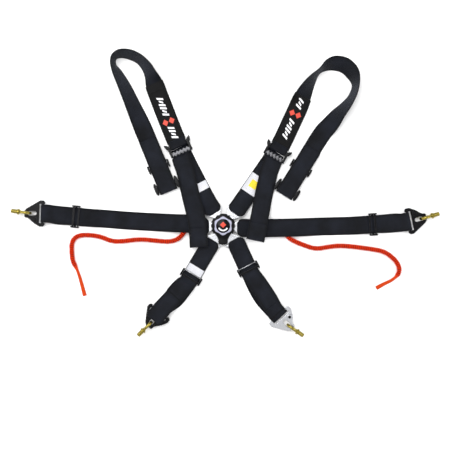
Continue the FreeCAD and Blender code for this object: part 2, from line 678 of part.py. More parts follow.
for side, belt in SHOULDERS.items():
    end_x, end_y, end_heading = belt["end"]
    back = along(end_x, end_y, end_heading, -belt["slide_back"], 0)
    save(side + "_lower_strap", lower_strap(side))
    save(side + "_adjuster_frame", placed(adjuster_frame(), *belt["adjuster"]))
    save(side + "_adjuster_bar", placed(adjuster_bar(), *belt["adjuster"]))
    save(side + "_shoulder_strap", strap(side))
    save(side + "_label_sleeve", label_sleeve(side))
    save(side + "_tail", tail(side))
    save(side + "_shoulder_slide", placed(three_bar_slide(), back[0], back[1], end_heading))
    save(side + "_end_frame", placed(end_frame(), *belt["end"]))
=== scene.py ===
import math

import bmesh
import bpy
import numpy as np
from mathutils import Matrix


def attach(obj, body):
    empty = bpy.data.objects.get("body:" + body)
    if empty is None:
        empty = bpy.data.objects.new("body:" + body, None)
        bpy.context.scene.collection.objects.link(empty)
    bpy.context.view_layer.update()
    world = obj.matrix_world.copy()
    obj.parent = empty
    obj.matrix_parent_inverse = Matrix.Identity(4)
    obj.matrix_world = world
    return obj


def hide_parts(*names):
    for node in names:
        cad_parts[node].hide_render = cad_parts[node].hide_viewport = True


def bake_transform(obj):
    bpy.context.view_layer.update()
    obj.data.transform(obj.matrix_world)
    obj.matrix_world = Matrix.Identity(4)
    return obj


# A six-point racing harness laid out flat on a pale floor. Everything is in metres, with the buckle at the
# origin, +Z up, +Y towards the shoulder belts and +X towards the wearer's left.

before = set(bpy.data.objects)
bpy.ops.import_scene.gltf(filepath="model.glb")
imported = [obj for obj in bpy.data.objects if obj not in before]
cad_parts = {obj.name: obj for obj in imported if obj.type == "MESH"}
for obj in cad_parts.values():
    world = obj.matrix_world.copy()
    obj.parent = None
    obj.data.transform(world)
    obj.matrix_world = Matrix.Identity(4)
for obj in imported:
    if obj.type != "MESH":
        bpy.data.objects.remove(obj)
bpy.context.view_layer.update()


# ---- camera and floor ----------------------------------------------------------------------------
# The harness is seen from straight above, square to the floor.

CAMERA_HEIGHT = 1.9
VIEW_WIDTH = 1.2375
AIM = (0.0052, 0.0025)

camera_data = bpy.data.cameras.new("camera")
camera_data.sensor_width = 36.0
camera_data.lens = 36.0 * (CAMERA_HEIGHT - 0.01) / VIEW_WIDTH
camera_data.clip_end = 20.0
camera = bpy.data.objects.new("camera", camera_data)
camera.location = (*AIM, CAMERA_HEIGHT)
bpy.context.scene.collection.objects.link(camera)
bpy.context.scene.camera = camera


def new_object(name, points, faces, smooth=True):
    """A mesh object at the origin from an array of points and a list of faces."""
    mesh = bpy.data.meshes.new(name)
    mesh.from_pydata(np.asarray(points, float).tolist(), [], [list(map(int, face)) for face in faces])
    mesh.validate()
    mesh.polygons.foreach_set("use_smooth", [smooth] * len(mesh.polygons))
    made = bpy.data.objects.new(name, mesh)
    bpy.context.scene.collection.objects.link(made)
    return made


def plain_nodes(name):
    """A new node material and its shader."""
    material = bpy.data.materials.new(name)
    material.use_nodes = True
    nodes = material.node_tree.nodes
    return material, nodes, material.node_tree.links, nodes["Principled BSDF"]


FLOOR_HALF = 4.0
floor = new_object(
    "floor",
    [(FLOOR_HALF * x, FLOOR_HALF * y, 0) for x, y in ((-1, -1), (1, -1), (1, 1), (-1, 1))],
    [(0, 1, 2, 3)],
)
floor_paper, nodes, links, shader = plain_nodes("white_paper")
shader.inputs["Base Color"].default_value = (0.97, 0.97, 0.97, 1)
shader.inputs["Roughness"].default_value = 0.9
shader.inputs["Specular IOR Level"].default_value = 0.1
floor.data.materials.append(floor_paper)


# ---- shared shapes for webbing -------------------------------------------------------------------
# All belts are woven polyester webbing, two inches wide. A belt is one closed ribbon: a rounded flat section
# carried along a smooth centre line, with its own map in metres for the weave.

WEB_WIDTH = 0.050
WEB_THICKNESS = 0.0015
FLOOR_GAP = 0.0003
SECTION_STEPS = 9


def smooth_path(stations, step=0.004):
    """Catmull-Rom curve through the stations' rows, in even steps along its first three columns."""
    rows = np.asarray(stations, float)
    rows = np.vstack([2 * rows[0] - rows[1], rows, 2 * rows[-1] - rows[-2]])
    knots = np.concatenate([[0], np.cumsum(np.sqrt(np.linalg.norm(np.diff(rows[:, :3], axis=0), axis=1)))])
    out = []
    for n in range(1, len(rows) - 2):
        t0, t1, t2, t3 = knots[n - 1:n + 3]
        length = np.linalg.norm(rows[n + 1, :3] - rows[n, :3])
        t = np.linspace(t1, t2, max(2, int(length / step) + 1), endpoint=False)[:, None]
        a1 = (t1 - t) / (t1 - t0) * rows[n - 1] + (t - t0) / (t1 - t0) * rows[n]
        a2 = (t2 - t) / (t2 - t1) * rows[n] + (t - t1) / (t2 - t1) * rows[n + 1]
        a3 = (t3 - t) / (t3 - t2) * rows[n + 1] + (t - t2) / (t3 - t2) * rows[n + 2]
        b1 = (t2 - t) / (t2 - t0) * a1 + (t - t0) / (t2 - t0) * a2
        b2 = (t3 - t) / (t3 - t1) * a2 + (t - t1) / (t3 - t1) * a3
        out.append((t2 - t) / (t2 - t1) * b1 + (t - t1) / (t2 - t1) * b2)
    out.append(rows[-2:-1])
    return np.vstack(out)


def webbing_section(width, thickness):
    """Closed outline of the webbing's section: flat faces, a slight crown and round selvedges."""
    turn = np.linspace(-math.pi / 2, math.pi / 2, 7)
    half = (width - thickness) / 2
    right = np.column_stack([half + thickness / 2 * np.cos(turn), thickness / 2 * np.sin(turn)])
    across = np.linspace(half, -half, SECTION_STEPS)[1:-1]
    top = np.column_stack([across, np.full(len(across), thickness / 2)])
    return np.vstack([right, top, -right, -top])


RIBBON_LINES = {}


def ribbon(name, stations, width=WEB_WIDTH, thickness=WEB_THICKNESS, widths=None, step=0.004):
    """A closed ribbon along stations of (x, y, z, across x, across y, across z).

    Section point (a, b) goes to centre + a * across + b * (tangent x across), so the ribbon turns with its
    across vectors. widths, if given, scales the section's width at equal shares of the length."""
    path = smooth_path(stations, step)
    centre, across = path[:, :3], path[:, 3:6]
    across = across / np.linalg.norm(across, axis=1)[:, None]
    tangent = np.gradient(centre, axis=0)
    tangent /= np.linalg.norm(tangent, axis=1)[:, None]
    out = np.cross(tangent, across)
    out /= np.linalg.norm(out, axis=1)[:, None]
    outline = webbing_section(width, thickness)
    run = np.concatenate([[0], np.cumsum(np.linalg.norm(np.diff(centre, axis=0), axis=1))])
    share = np.ones(len(run))
    if widths is not None:
        share = np.interp(run / run[-1], [w[0] for w in widths], [w[1] for w in widths])
    points = (centre[:, None] + outline[None, :, 0, None] * share[:, None, None] * across[:, None]
              + outline[None, :, 1, None] * out[:, None])
    rings, around = points.shape[:2]
    index = np.arange(rings * around).reshape(rings, around)
    after = np.roll(index, -1, axis=1)
    quads = np.stack([index[:-1], after[:-1], after[1:], index[1:]], axis=-1).reshape(-1, 4)
    faces = quads.tolist() + [index[0, ::-1].tolist(), index[-1].tolist()]
    made = new_object(name, points.reshape(-1, 3), faces)
    layer = made.data.uv_layers.new(name="Weave")
    loops = np.zeros(len(made.data.loops), int)
    made.data.loops.foreach_get("vertex_index", loops)
    u = np.tile(outline[:, 0], rings)[loops]
    v = np.repeat(run, around)[loops]
    layer.data.foreach_set("uv", np.column_stack([u, v]).ravel())
    made["length"] = float(run[-1])
    RIBBON_LINES[name] = (run, centre, across, out, thickness)
    return made


def heading_across(heading, roll=0.0):
    """Across vector of a strap that runs at a heading, rolled about its own length."""
    level = np.array([-math.sin(math.radians(heading)), math.cos(math.radians(heading)), 0])
    return level * math.cos(math.radians(roll)) + np.array([0, 0, math.sin(math.radians(roll))])


def station(x, y, z, heading, roll=0.0):
    """One station from millimetres, a heading and a roll in degrees."""
    return [x / 1000, y / 1000, z / 1000, *heading_across(heading, roll)]


def along(x, y, heading, reach, z):
    """A level station a reach ahead of a place."""
    angle = math.radians(heading)
    return station(x + reach * math.cos(angle), y + reach * math.sin(angle), z, heading)


def in_metres_at(x, y, heading, reach):
    """The floor point at a reach from (x, y) in millimetres along a heading, in metres."""
    return tuple(along(x, y, heading, reach, 0)[:3])


def bend(x, y, z, heading, radius, start, finish, count=9):
    """Stations round a bar: start and finish are angles in the upright plane along the heading."""
    out = []
    for angle in np.radians(np.linspace(start, finish, count)):
        reach, lift = radius * math.cos(angle), radius * math.sin(angle)
        out.append(along(x, y, heading, reach, z + lift))
    return out


# ---- release cords -------------------------------------------------------------------------------
# One red cord from under each lap belt: nylon tape gathered on a core, its last stretch left flat and bare.
# It is sewn to the belt's underside and pulled to slacken the belt.

CORD_DIAMETER = 0.0125
CORD_HEIGHT = FLOOR_GAP + CORD_DIAMETER / 2
FLAT_HEIGHT = 0.0022
GATHER_PITCH = 0.0052
CORD_ROUTES = {
    "right_lap": [
        (-0.096, 0.002), (-0.107, -0.016), (-0.121, -0.035), (-0.146, -0.044), (-0.182, -0.041),
        (-0.229, -0.036), (-0.281, -0.043), (-0.308, -0.042), (-0.336, -0.030), (-0.364, -0.025),
        (-0.394, -0.025), (-0.411, -0.034),
        (-0.418, -0.051), (-0.417, -0.074), (-0.415, -0.096), (-0.404, -0.116), (-0.396, -0.140),
        (-0.389, -0.166), (-0.382, -0.193),
    ],
    "left_lap": [
        (0.164, -0.008), (0.176, -0.030), (0.197, -0.043), (0.226, -0.054), (0.255, -0.064), (0.293, -0.057),
        (0.324, -0.054), (0.367, -0.058), (0.411, -0.064), (0.444, -0.070), (0.470, -0.089), (0.484, -0.108),
        (0.486, -0.127), (0.477, -0.140), (0.464, -0.151), (0.444, -0.160), (0.423, -0.172),
    ],
}
FLAT_SHARE = {"right_lap": 0.18, "left_lap": 0.16}


def spline_points(route):
    """Points of the smooth NURBS line that has the route's points as its control points."""
    curve = bpy.data.curves.new("route", "CURVE")
    curve.dimensions = "3D"
    spline = curve.splines.new("NURBS")
    spline.points.add(len(route) - 1)
    for spot, place in zip(spline.points, route):
        spot.co = (*place, 1.0)
    spline.order_u = 3
    spline.use_endpoint_u = True
    spline.resolution_u = 24
    holder = bpy.data.objects.new("route", curve)
    mesh = bpy.data.meshes.new_from_object(holder)
    points = np.empty(len(mesh.vertices) * 3)
    mesh.vertices.foreach_get("co", points)
    bpy.data.objects.remove(holder)
    bpy.data.meshes.remove(mesh)
    bpy.data.curves.remove(curve)
    return points.reshape(-1, 3)


def even_points(points, step):
    """The same line in even steps."""
    run = np.concatenate([[0], np.cumsum(np.linalg.norm(np.diff(points, axis=0), axis=1))])
    at = np.linspace(0, run[-1], int(run[-1] / step) + 1)
    return np.column_stack([np.interp(at, run, points[:, k]) for k in range(3)]), at


def gathered_cord(name, route, flat_share, seed):
    """A closed tube whose radius waves along its length like gathered tape, and flattens to bare tape.

    Radius at run s and angle a is R * (1 - g + g * sin(2 pi s / pitch + waver(s, a))), with the section's
    height shrinking to the tape's thickness over the flat share."""
    random = np.random.default_rng(seed)
    heights = np.full(len(route), CORD_HEIGHT)
    heights[-3:] = FLAT_HEIGHT + np.array([0.002, 0.0, 0.0])
    line = spline_points([(x, y, z) for (x, y), z in zip(route, heights)])
    centre, run = even_points(line, 0.0007)
    tangent = np.gradient(centre, axis=0)
    tangent /= np.linalg.norm(tangent, axis=1)[:, None]
    side = np.cross([0, 0, 1.0], tangent)
    side /= np.linalg.norm(side, axis=1)[:, None]
    up = np.cross(tangent, side)
    angle = np.linspace(0, 2 * math.pi, 24, endpoint=False)
    s = run[:, None]
    flat = np.clip((run / run[-1] - 1 + flat_share) / 0.035, 0, 1)[:, None]
    flat = flat * flat * (3 - 2 * flat)
    drift = np.cumsum(random.normal(0, 0.05, len(run)))[:, None]
    waver = 0.35 * np.sin(angle * 2 + drift) + 0.25 * np.sin(angle * 3 - 1.4 * drift + 1.0)
    wave = np.sin(2 * math.pi * s / GATHER_PITCH + waver + drift * 2.2)
    crease = (0.17 + 0.04 * np.sin(s * 390 + drift)) * (1 - flat)
    radius = CORD_DIAMETER / 2 * (1.16 - 0.16 * flat - crease + crease * wave)
    spread = 0.55 + 0.35 * np.clip((run / run[-1] - 1 + flat_share) / flat_share, 0, 1)[:, None]
    wide = radius * (1 - flat + flat * spread)
    high = radius * ((1 - flat) * 0.90 + flat * 0.15)
    bow = 0.0006 * flat * np.cos(angle * 2)
    points = (centre[:, None] + side[:, None] * (wide * np.cos(angle))[..., None]
              + up[:, None] * (high * np.sin(angle) - bow)[..., None])
    rings, around = points.shape[:2]
    index = np.arange(rings * around).reshape(rings, around)
    after = np.roll(index, -1, axis=1)
    quads = np.stack([index[:-1], index[1:], after[1:], after[:-1]], axis=-1).reshape(-1, 4)
    caps = [index[0].tolist(), index[-1, ::-1].tolist()]
    made = new_object(name, points.reshape(-1, 3), quads.tolist() + caps)
    # First channel: painted shade, dark in the valleys of the gathers and bright on their crests; second:
    # share of bare tape.
    shade = made.data.attributes.new("gather_shade", "FLOAT_COLOR", "POINT")
    value = ((wave * 0.5 + 0.5) * (1 - flat) + flat * 0.8).ravel()
    tape = np.repeat(flat, around, axis=1).ravel()
    filler = np.ones(len(value))
    shade.data.foreach_set("color", np.column_stack([value, tape, filler, filler]).ravel())
    return made, centre[::6]


def red_cord_material():
    """Dyed nylon, orange where the bare tape lies flat, with a fine cross weave; shade is painted dark into
    the valleys of the gathers.
    """
    material, nodes, links, shader = plain_nodes("red_gathered_nylon")
    gather_shade = nodes.new("ShaderNodeAttribute")
    gather_shade.attribute_name = "gather_shade"
    parts = nodes.new("ShaderNodeSeparateColor")
    links.new(gather_shade.outputs["Color"], parts.inputs["Color"])
    # Painted shade: the gathers' valleys go dark red and their crests bright.
    crease_shade_ramp = nodes.new("ShaderNodeValToRGB")
    crease_shade_ramp.color_ramp.elements[0].position = 0.3
    crease_shade_ramp.color_ramp.elements[0].color = (0.055, 0.001, 0.0005, 1)
    crease_shade_ramp.color_ramp.elements[1].color = (0.95, 0.045, 0.006, 1)
    crease_shade_ramp.color_ramp.elements[1].position = 0.75
    links.new(parts.outputs["Red"], crease_shade_ramp.inputs["Fac"])
    blend = nodes.new("ShaderNodeMix")
    blend.data_type = "RGBA"
    blend.inputs["B"].default_value = (0.58, 0.055, 0.008, 1)
    links.new(parts.outputs["Green"], blend.inputs["Factor"])
    links.new(crease_shade_ramp.outputs["Color"], blend.inputs["A"])
    fleck = nodes.new("ShaderNodeTexNoise")
    fleck.inputs["Scale"].default_value = 900
    place = nodes.new("ShaderNodeTexCoord")
    links.new(place.outputs["Object"], fleck.inputs["Vector"])
    speckle = nodes.new("ShaderNodeMix")
    speckle.data_type = "RGBA"
    speckle.blend_type = "MULTIPLY"
    speckle.inputs["Factor"].default_value = 0.35
    links.new(blend.outputs["Result"], speckle.inputs["A"])
    links.new(fleck.outputs["Color"], speckle.inputs["B"])
    links.new(speckle.outputs["Result"], shader.inputs["Base Color"])
    bump = nodes.new("ShaderNodeBump")
    bump.inputs["Distance"].default_value = 0.0003
    bump.inputs["Strength"].default_value = 0.6
    links.new(fleck.outputs["Fac"], bump.inputs["Height"])
    links.new(bump.outputs["Normal"], shader.inputs["Normal"])
    shader.inputs["Roughness"].default_value = 0.6
    shader.inputs["Specular IOR Level"].default_value = 0.06
    return material


red_nylon = red_cord_material()
for seed, (belt, route) in enumerate(CORD_ROUTES.items()):
    cord, path = gathered_cord(belt + "_release_cord", route, FLAT_SHARE[belt], seed + 3)
    cord.data.materials.append(red_nylon)
    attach(cord, belt + "_belt")
    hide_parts(belt + "_cord")


# ---- webbing cloth -------------------------------------------------------------------------------
# Black polyester, woven in fine lengthwise ribs crossed by the weft. A faint blue sheen is painted in soft
# patches along the middle of each belt and fades out to black at the selvedges.

def weave_group():
    """Height of a ribbed weave and a mask of painted sheen, from a map in metres: ribs along v, weft crossing
    them along u.
    """
    tree = bpy.data.node_groups.new("ribbed_weave", "ShaderNodeTree")
    tree.interface.new_socket("Map", in_out="INPUT", socket_type="NodeSocketVector")
    tree.interface.new_socket("Rib", in_out="INPUT", socket_type="NodeSocketFloat")
    tree.interface.new_socket("Height", in_out="OUTPUT", socket_type="NodeSocketFloat")
    tree.interface.new_socket("Mask", in_out="OUTPUT", socket_type="NodeSocketFloat")
    source, result = tree.nodes.new("NodeGroupInput"), tree.nodes.new("NodeGroupOutput")
    link = tree.links.new
    parts = tree.nodes.new("ShaderNodeSeparateXYZ")
    link(source.outputs["Map"], parts.inputs[0])

    def math_node(operation, first, second=None):
        node = tree.nodes.new("ShaderNodeMath")
        node.operation = operation
        for socket, value in zip(node.inputs, (first, second)):
            if value is None:
                continue
            if isinstance(value, (int, float)):
                socket.default_value = value
            else:
                link(value, socket)
        return node.outputs[0]

    across = math_node("MULTIPLY", parts.outputs["X"], source.outputs["Rib"])
    ahead = math_node("MULTIPLY", parts.outputs["Y"], source.outputs["Rib"])
    rib = math_node("SINE", across)
    offset = math_node("MULTIPLY", math_node("SIGN", rib), 1.57)
    shifted = math_node("ADD", math_node("MULTIPLY", ahead, 1.3), offset)
    weft = math_node("SINE", shifted)
    height = math_node("ADD", math_node("ABSOLUTE", rib), math_node("MULTIPLY", weft, 0.45))
    link(height, result.inputs["Height"])
    noise = tree.nodes.new("ShaderNodeTexNoise")
    noise.inputs["Scale"].default_value = 14.0
    noise.inputs["Detail"].default_value = 4.0
    link(source.outputs["Map"], noise.inputs["Vector"])
    stretch = tree.nodes.new("ShaderNodeMapRange")
    stretch.inputs["From Min"].default_value = 0.32
    stretch.inputs["From Max"].default_value = 0.68
    link(noise.outputs["Fac"], stretch.inputs["Value"])
    # Painted sheen: full along the middle of the cloth and none at its selvedges.
    from_middle = tree.nodes.new("ShaderNodeMapRange")
    from_middle.interpolation_type = "SMOOTHSTEP"
    from_middle.inputs["From Min"].default_value = 0.025
    from_middle.inputs["From Max"].default_value = 0.013
    link(math_node("ABSOLUTE", parts.outputs["X"]), from_middle.inputs["Value"])
    sheen_mask = math_node("MULTIPLY", stretch.outputs["Result"], from_middle.outputs["Result"])
    link(sheen_mask, result.inputs["Mask"])
    return tree


ribbed_weave = weave_group()
RIB_PITCH = 0.0021


def cloth_material(name, dark, light, rib=2 * math.pi / RIB_PITCH, rough=0.55, sheen=0.05, gloss=0.12,
                   relief=0.0003):
    """Woven cloth on the piece's own map: two shades mixed by a broad soft mask, the lighter one a painted
    sheen, and darkened by the weave in its grooves as painted shade.
    """
    material, nodes, links, shader = plain_nodes(name)
    place = nodes.new("ShaderNodeUVMap")
    place.uv_map = "Weave"
    weave = nodes.new("ShaderNodeGroup")
    weave.node_tree = ribbed_weave
    weave.inputs["Rib"].default_value = rib
    links.new(place.outputs["UV"], weave.inputs["Map"])
    shades = nodes.new("ShaderNodeMix")
    shades.data_type = "RGBA"
    shades.inputs["A"].default_value = (*dark, 1)
    shades.inputs["B"].default_value = (*light, 1)
    links.new(weave.outputs["Mask"], shades.inputs["Factor"])
    # Painted shade: the weave's low places darken the colour.
    ribs = nodes.new("ShaderNodeMix")
    ribs.data_type = "RGBA"
    ribs.blend_type = "MULTIPLY"
    ribs.inputs["Factor"].default_value = 0.4
    links.new(shades.outputs["Result"], ribs.inputs["A"])
    links.new(weave.outputs["Height"], ribs.inputs["B"])
    links.new(ribs.outputs["Result"], shader.inputs["Base Color"])
    bump = nodes.new("ShaderNodeBump")
    bump.inputs["Distance"].default_value = relief
    bump.inputs["Strength"].default_value = 0.8
    links.new(weave.outputs["Height"], bump.inputs["Height"])
    links.new(bump.outputs["Normal"], shader.inputs["Normal"])
    shader.inputs["Roughness"].default_value = rough
    shader.inputs["Specular IOR Level"].default_value = gloss
    shader.inputs["Sheen Weight"].default_value = sheen
    shader.inputs["Sheen Roughness"].default_value = 0.45
    shader.inputs["Sheen Tint"].default_value = (0.62, 0.72, 1.0, 1)
    return material


webbing_cloth = cloth_material("black_webbing", (0.0026, 0.0029, 0.0042), (0.0105, 0.0125, 0.0200))


def belt_piece(piece, body, node, bends=None):
    """Finish a webbing piece: its cloth, its body (or, if it bends, only its transform baked in), and the
    plain solid that it stands for.
    """
    piece.data.materials.append(webbing_cloth)
    if bends:
        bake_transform(piece)
    else:
        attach(piece, body)
    if node:
        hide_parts(node)
    return piece


# ---- lap and leg belts ---------------------------------------------------------------------------
# Each main strap is sewn round its tongue and ends in a three-bar slide; from there the doubled end strap
# goes round the hook's bar and back.

TURNS = {
    "left_shoulder": (33.0, 38.0, 56.0), "right_shoulder": (-25.0, 38.8, 121.0),
    "left_lap": (43.4, -4.8, -1.0), "right_lap": (-43.5, -1.5, 181.0),
    "left_leg": (33.9, -41.1, 295.0), "right_leg": (-31.0, -43.5, 239.0),
}
TONGUE_MIDDLE = 10.8
FOLD = 4.55
LAP_HUMP = 14.6
LOW = 1.1
ENTRY = 6.8
HOOK_MIDDLE = 11.1
SLIDE_LAYERS = (3.2, 5.0)
LAYER_REACH = 27.0
BELTS = {
    "right_lap": {
        "run": [
            (-82, 3.0, 13.6, 182), (-96, 6.0, LAP_HUMP, 178), (-134, 7.5, LAP_HUMP, 177),
            (-170, 9.4, 7.5, 177), (-210, 11.4, LOW + 0.5, 177), (-270, 15.0, LOW + 1.2, 177),
            (-333, 20.0, LOW, 176), (-360, 21.7, ENTRY, 175),
        ],
        "slide": (-407.0, 25.6, 175.0), "bar": (-496.0, 34.0, 178.0),
        "under": 1.5, "puff": 2.0, "slack": 0.0,
    },
    "left_lap": {
        "run": [
            (84, -6.4, 12.6, -2), (150, -5.6, LAP_HUMP, 1), (198, -4.4, LAP_HUMP, 2), (234, -3.0, 7.5, 2),
            (272, -1.6, LOW, 2), (305, -0.8, LOW + 1.0, 2), (338, 0.0, LOW, 2), (366, 1.2, ENTRY, 3),
        ],
        "slide": (413.5, 4.2, 4.0), "bar": (510.0, 12.6, 12.0),
        "under": -2.5, "puff": 2.0, "slack": 0.0,
    },
    "right_leg": {
        "run": [(-43.5, -65.0, 9.6, 239), (-66.0, -102.5, ENTRY, 239)],
        "slide": (-88.3, -140.5, 238.0), "bar": (-176.0, -238.0, 231.0),
        "under": 7.0, "puff": 5.0, "slack": 25.0,
    },
    "left_leg": {
        "run": [(42.0, -60.0, 9.6, 295), (53.0, -84.0, ENTRY, 293)],
        "slide": (69.5, -118.5, 297.0), "bar": (155.0, -247.0, 313.0),
        "under": -10.0, "puff": 5.0, "slack": 0.0,
    },
}


LAYER = 1.65
SEAM = 14.0


def sewn_turn(name, first, second):
    """Stations of the sewn end: tucked under the strap, round the tongue's bar and back on top."""
    turn_x, turn_y, heading = TURNS[name]
    x, y, z, way = first
    share = SEAM / math.hypot(second[0] - x, second[1] - y)
    past = [a + share * (b - a) for a, b in zip(first, second)]
    middle = [(2 * a + b) / 3 for a, b in zip((turn_x, turn_y), (x, y))]
    near_z = (TONGUE_MIDDLE + FOLD + z) / 2
    tuck = [station(*past[:2], past[2] - LAYER, past[3]), station(x, y, z - LAYER, way)]
    tuck.append(along(turn_x, turn_y, heading, 5, TONGUE_MIDDLE - FOLD + 0.8))
    turn = bend(turn_x, turn_y, TONGUE_MIDDLE, heading, FOLD, 270, 90)
    return tuck + turn + [station(*middle, near_z + 1.0, (heading + way) / 2)]


def run_lengths(stations):
    """Distance along the stations to each of them."""
    steps = np.linalg.norm(np.diff(np.array(stations)[:, :3], axis=0), axis=1)
    return np.concatenate([[0], np.cumsum(steps)])


SLACK_HEIGHT = 17.2
SLACK_FOLD = 1.9
CORNER_RADIUS = 0.015


TURN_STATION = 7


def rounded_turn(stations):
    """Width shares of a strap with round corners where it turns round its tongue.

    A plan distance d behind the turn, half the width is w / 2 - r + sqrt(r^2 - (r - d)^2)."""
    run = run_lengths(stations)
    offsets = np.linspace(-0.026, 0.026, 41)
    reach = np.abs(offsets)
    arc = FOLD / 1000
    quarter = arc * math.pi / 2
    turned = arc * (1 - np.cos(np.minimum(reach, quarter) / arc))
    behind = np.where(reach < quarter, turned, arc + reach - quarter)
    behind = np.minimum(behind, CORNER_RADIUS)
    half = WEB_WIDTH / 2 - CORNER_RADIUS + np.sqrt(CORNER_RADIUS ** 2 - (CORNER_RADIUS - behind) ** 2)
    places = (run[TURN_STATION] + offsets) / run[-1]
    middle = list(zip(places, half / (WEB_WIDTH / 2)))
    return [(0, 1.0)] + middle + [(1, 1.0)]


for name, belt in BELTS.items():
    slide_x, slide_y, slide_heading = belt["slide"]
    stations = sewn_turn(name, *belt["run"][:2]) + [station(*spot) for spot in belt["run"]]
    stations.append(along(slide_x, slide_y, slide_heading, -14, ENTRY))
    stations.append(along(slide_x, slide_y, slide_heading, -4, ENTRY - 0.3))
    strap = ribbon(name + "_main_strap", stations, widths=rounded_turn(stations), step=0.003)
    belt_piece(strap, name + "_belt", name + "_strap")

    bar_x, bar_y, bar_heading = belt["bar"]
    span = math.hypot(bar_x - slide_x, bar_y - slide_y)
    mid_heading = math.degrees(math.atan2(bar_y - slide_y, bar_x - slide_x))

    def between(share, z, aside):
        """A station between the slide and the hook's bar, moved aside across the strap."""
        angle = math.radians(mid_heading)
        reach = share * span
        x = slide_x + reach * math.cos(angle) - aside * math.sin(angle)
        y = slide_y + reach * math.sin(angle) + aside * math.cos(angle)
        return station(x, y, z, mid_heading)

    under, puff = belt["under"], belt["puff"]
    stations = [
        along(slide_x, slide_y, slide_heading, -LAYER_REACH, SLIDE_LAYERS[0]),
        along(slide_x, slide_y, slide_heading, 10, SLIDE_LAYERS[0]),
        between(0.34, LOW + 1.4, under * 0.8), between(0.6, LOW + 1.0, under),
        along(bar_x, bar_y, bar_heading, -16, HOOK_MIDDLE - FOLD + 0.2),
    ]
    slack = belt["slack"]
    if slack:
        stations += bend(bar_x, bar_y, HOOK_MIDDLE, bar_heading, FOLD, -90, 70)
        for reach in (5, slack / 2, slack - 4):
            stations.append(along(bar_x, bar_y, bar_heading, reach, SLACK_HEIGHT))
        fold_x, fold_y = (1000 * part for part in in_metres_at(bar_x, bar_y, bar_heading, slack - 2)[:2])
        stations += bend(fold_x, fold_y, SLACK_HEIGHT + SLACK_FOLD, bar_heading, SLACK_FOLD, -90, 90)
        stations += [along(bar_x, bar_y, bar_heading, 8, SLACK_HEIGHT + 2 * SLACK_FOLD + 0.6)]
    else:
        stations += bend(bar_x, bar_y, HOOK_MIDDLE, bar_heading, FOLD, -90, 90)
    loose = SLACK_HEIGHT + 2 * SLACK_FOLD - HOOK_MIDDLE - FOLD if slack else 0.0
    stations += [
        along(bar_x, bar_y, bar_heading, -15, HOOK_MIDDLE + FOLD - 0.3 + loose),
        between(0.62, 10.0 + puff, 0), between(0.34, 9.0 + puff, 0),
        along(slide_x, slide_y, slide_heading, 12, SLIDE_LAYERS[1] + 1.8),
        along(slide_x, slide_y, slide_heading, 0, SLIDE_LAYERS[1]),
        along(slide_x, slide_y, slide_heading, -LAYER_REACH, SLIDE_LAYERS[1]),
    ]
    doubled = ribbon(name + "_doubled_strap", stations)
    crossing = [in_metres_at(bar_x, bar_y, bar_heading, reach) for reach in (-12, 3)]
    belt_piece(doubled, name + "_end", name + "_end_strap",
               bends=(name + "_hook_body", *crossing) if slack else None)


# ---- shoulder belts ------------------------------------------------------------------------------
# The lower strap is sewn round its tongue and runs under the adjuster. The pull tail is its other end, turned
# round the knurled bar. The upper strap is sewn round the smooth bar, loops back on its edge and is folded
# through a slide and the wrap bracket.

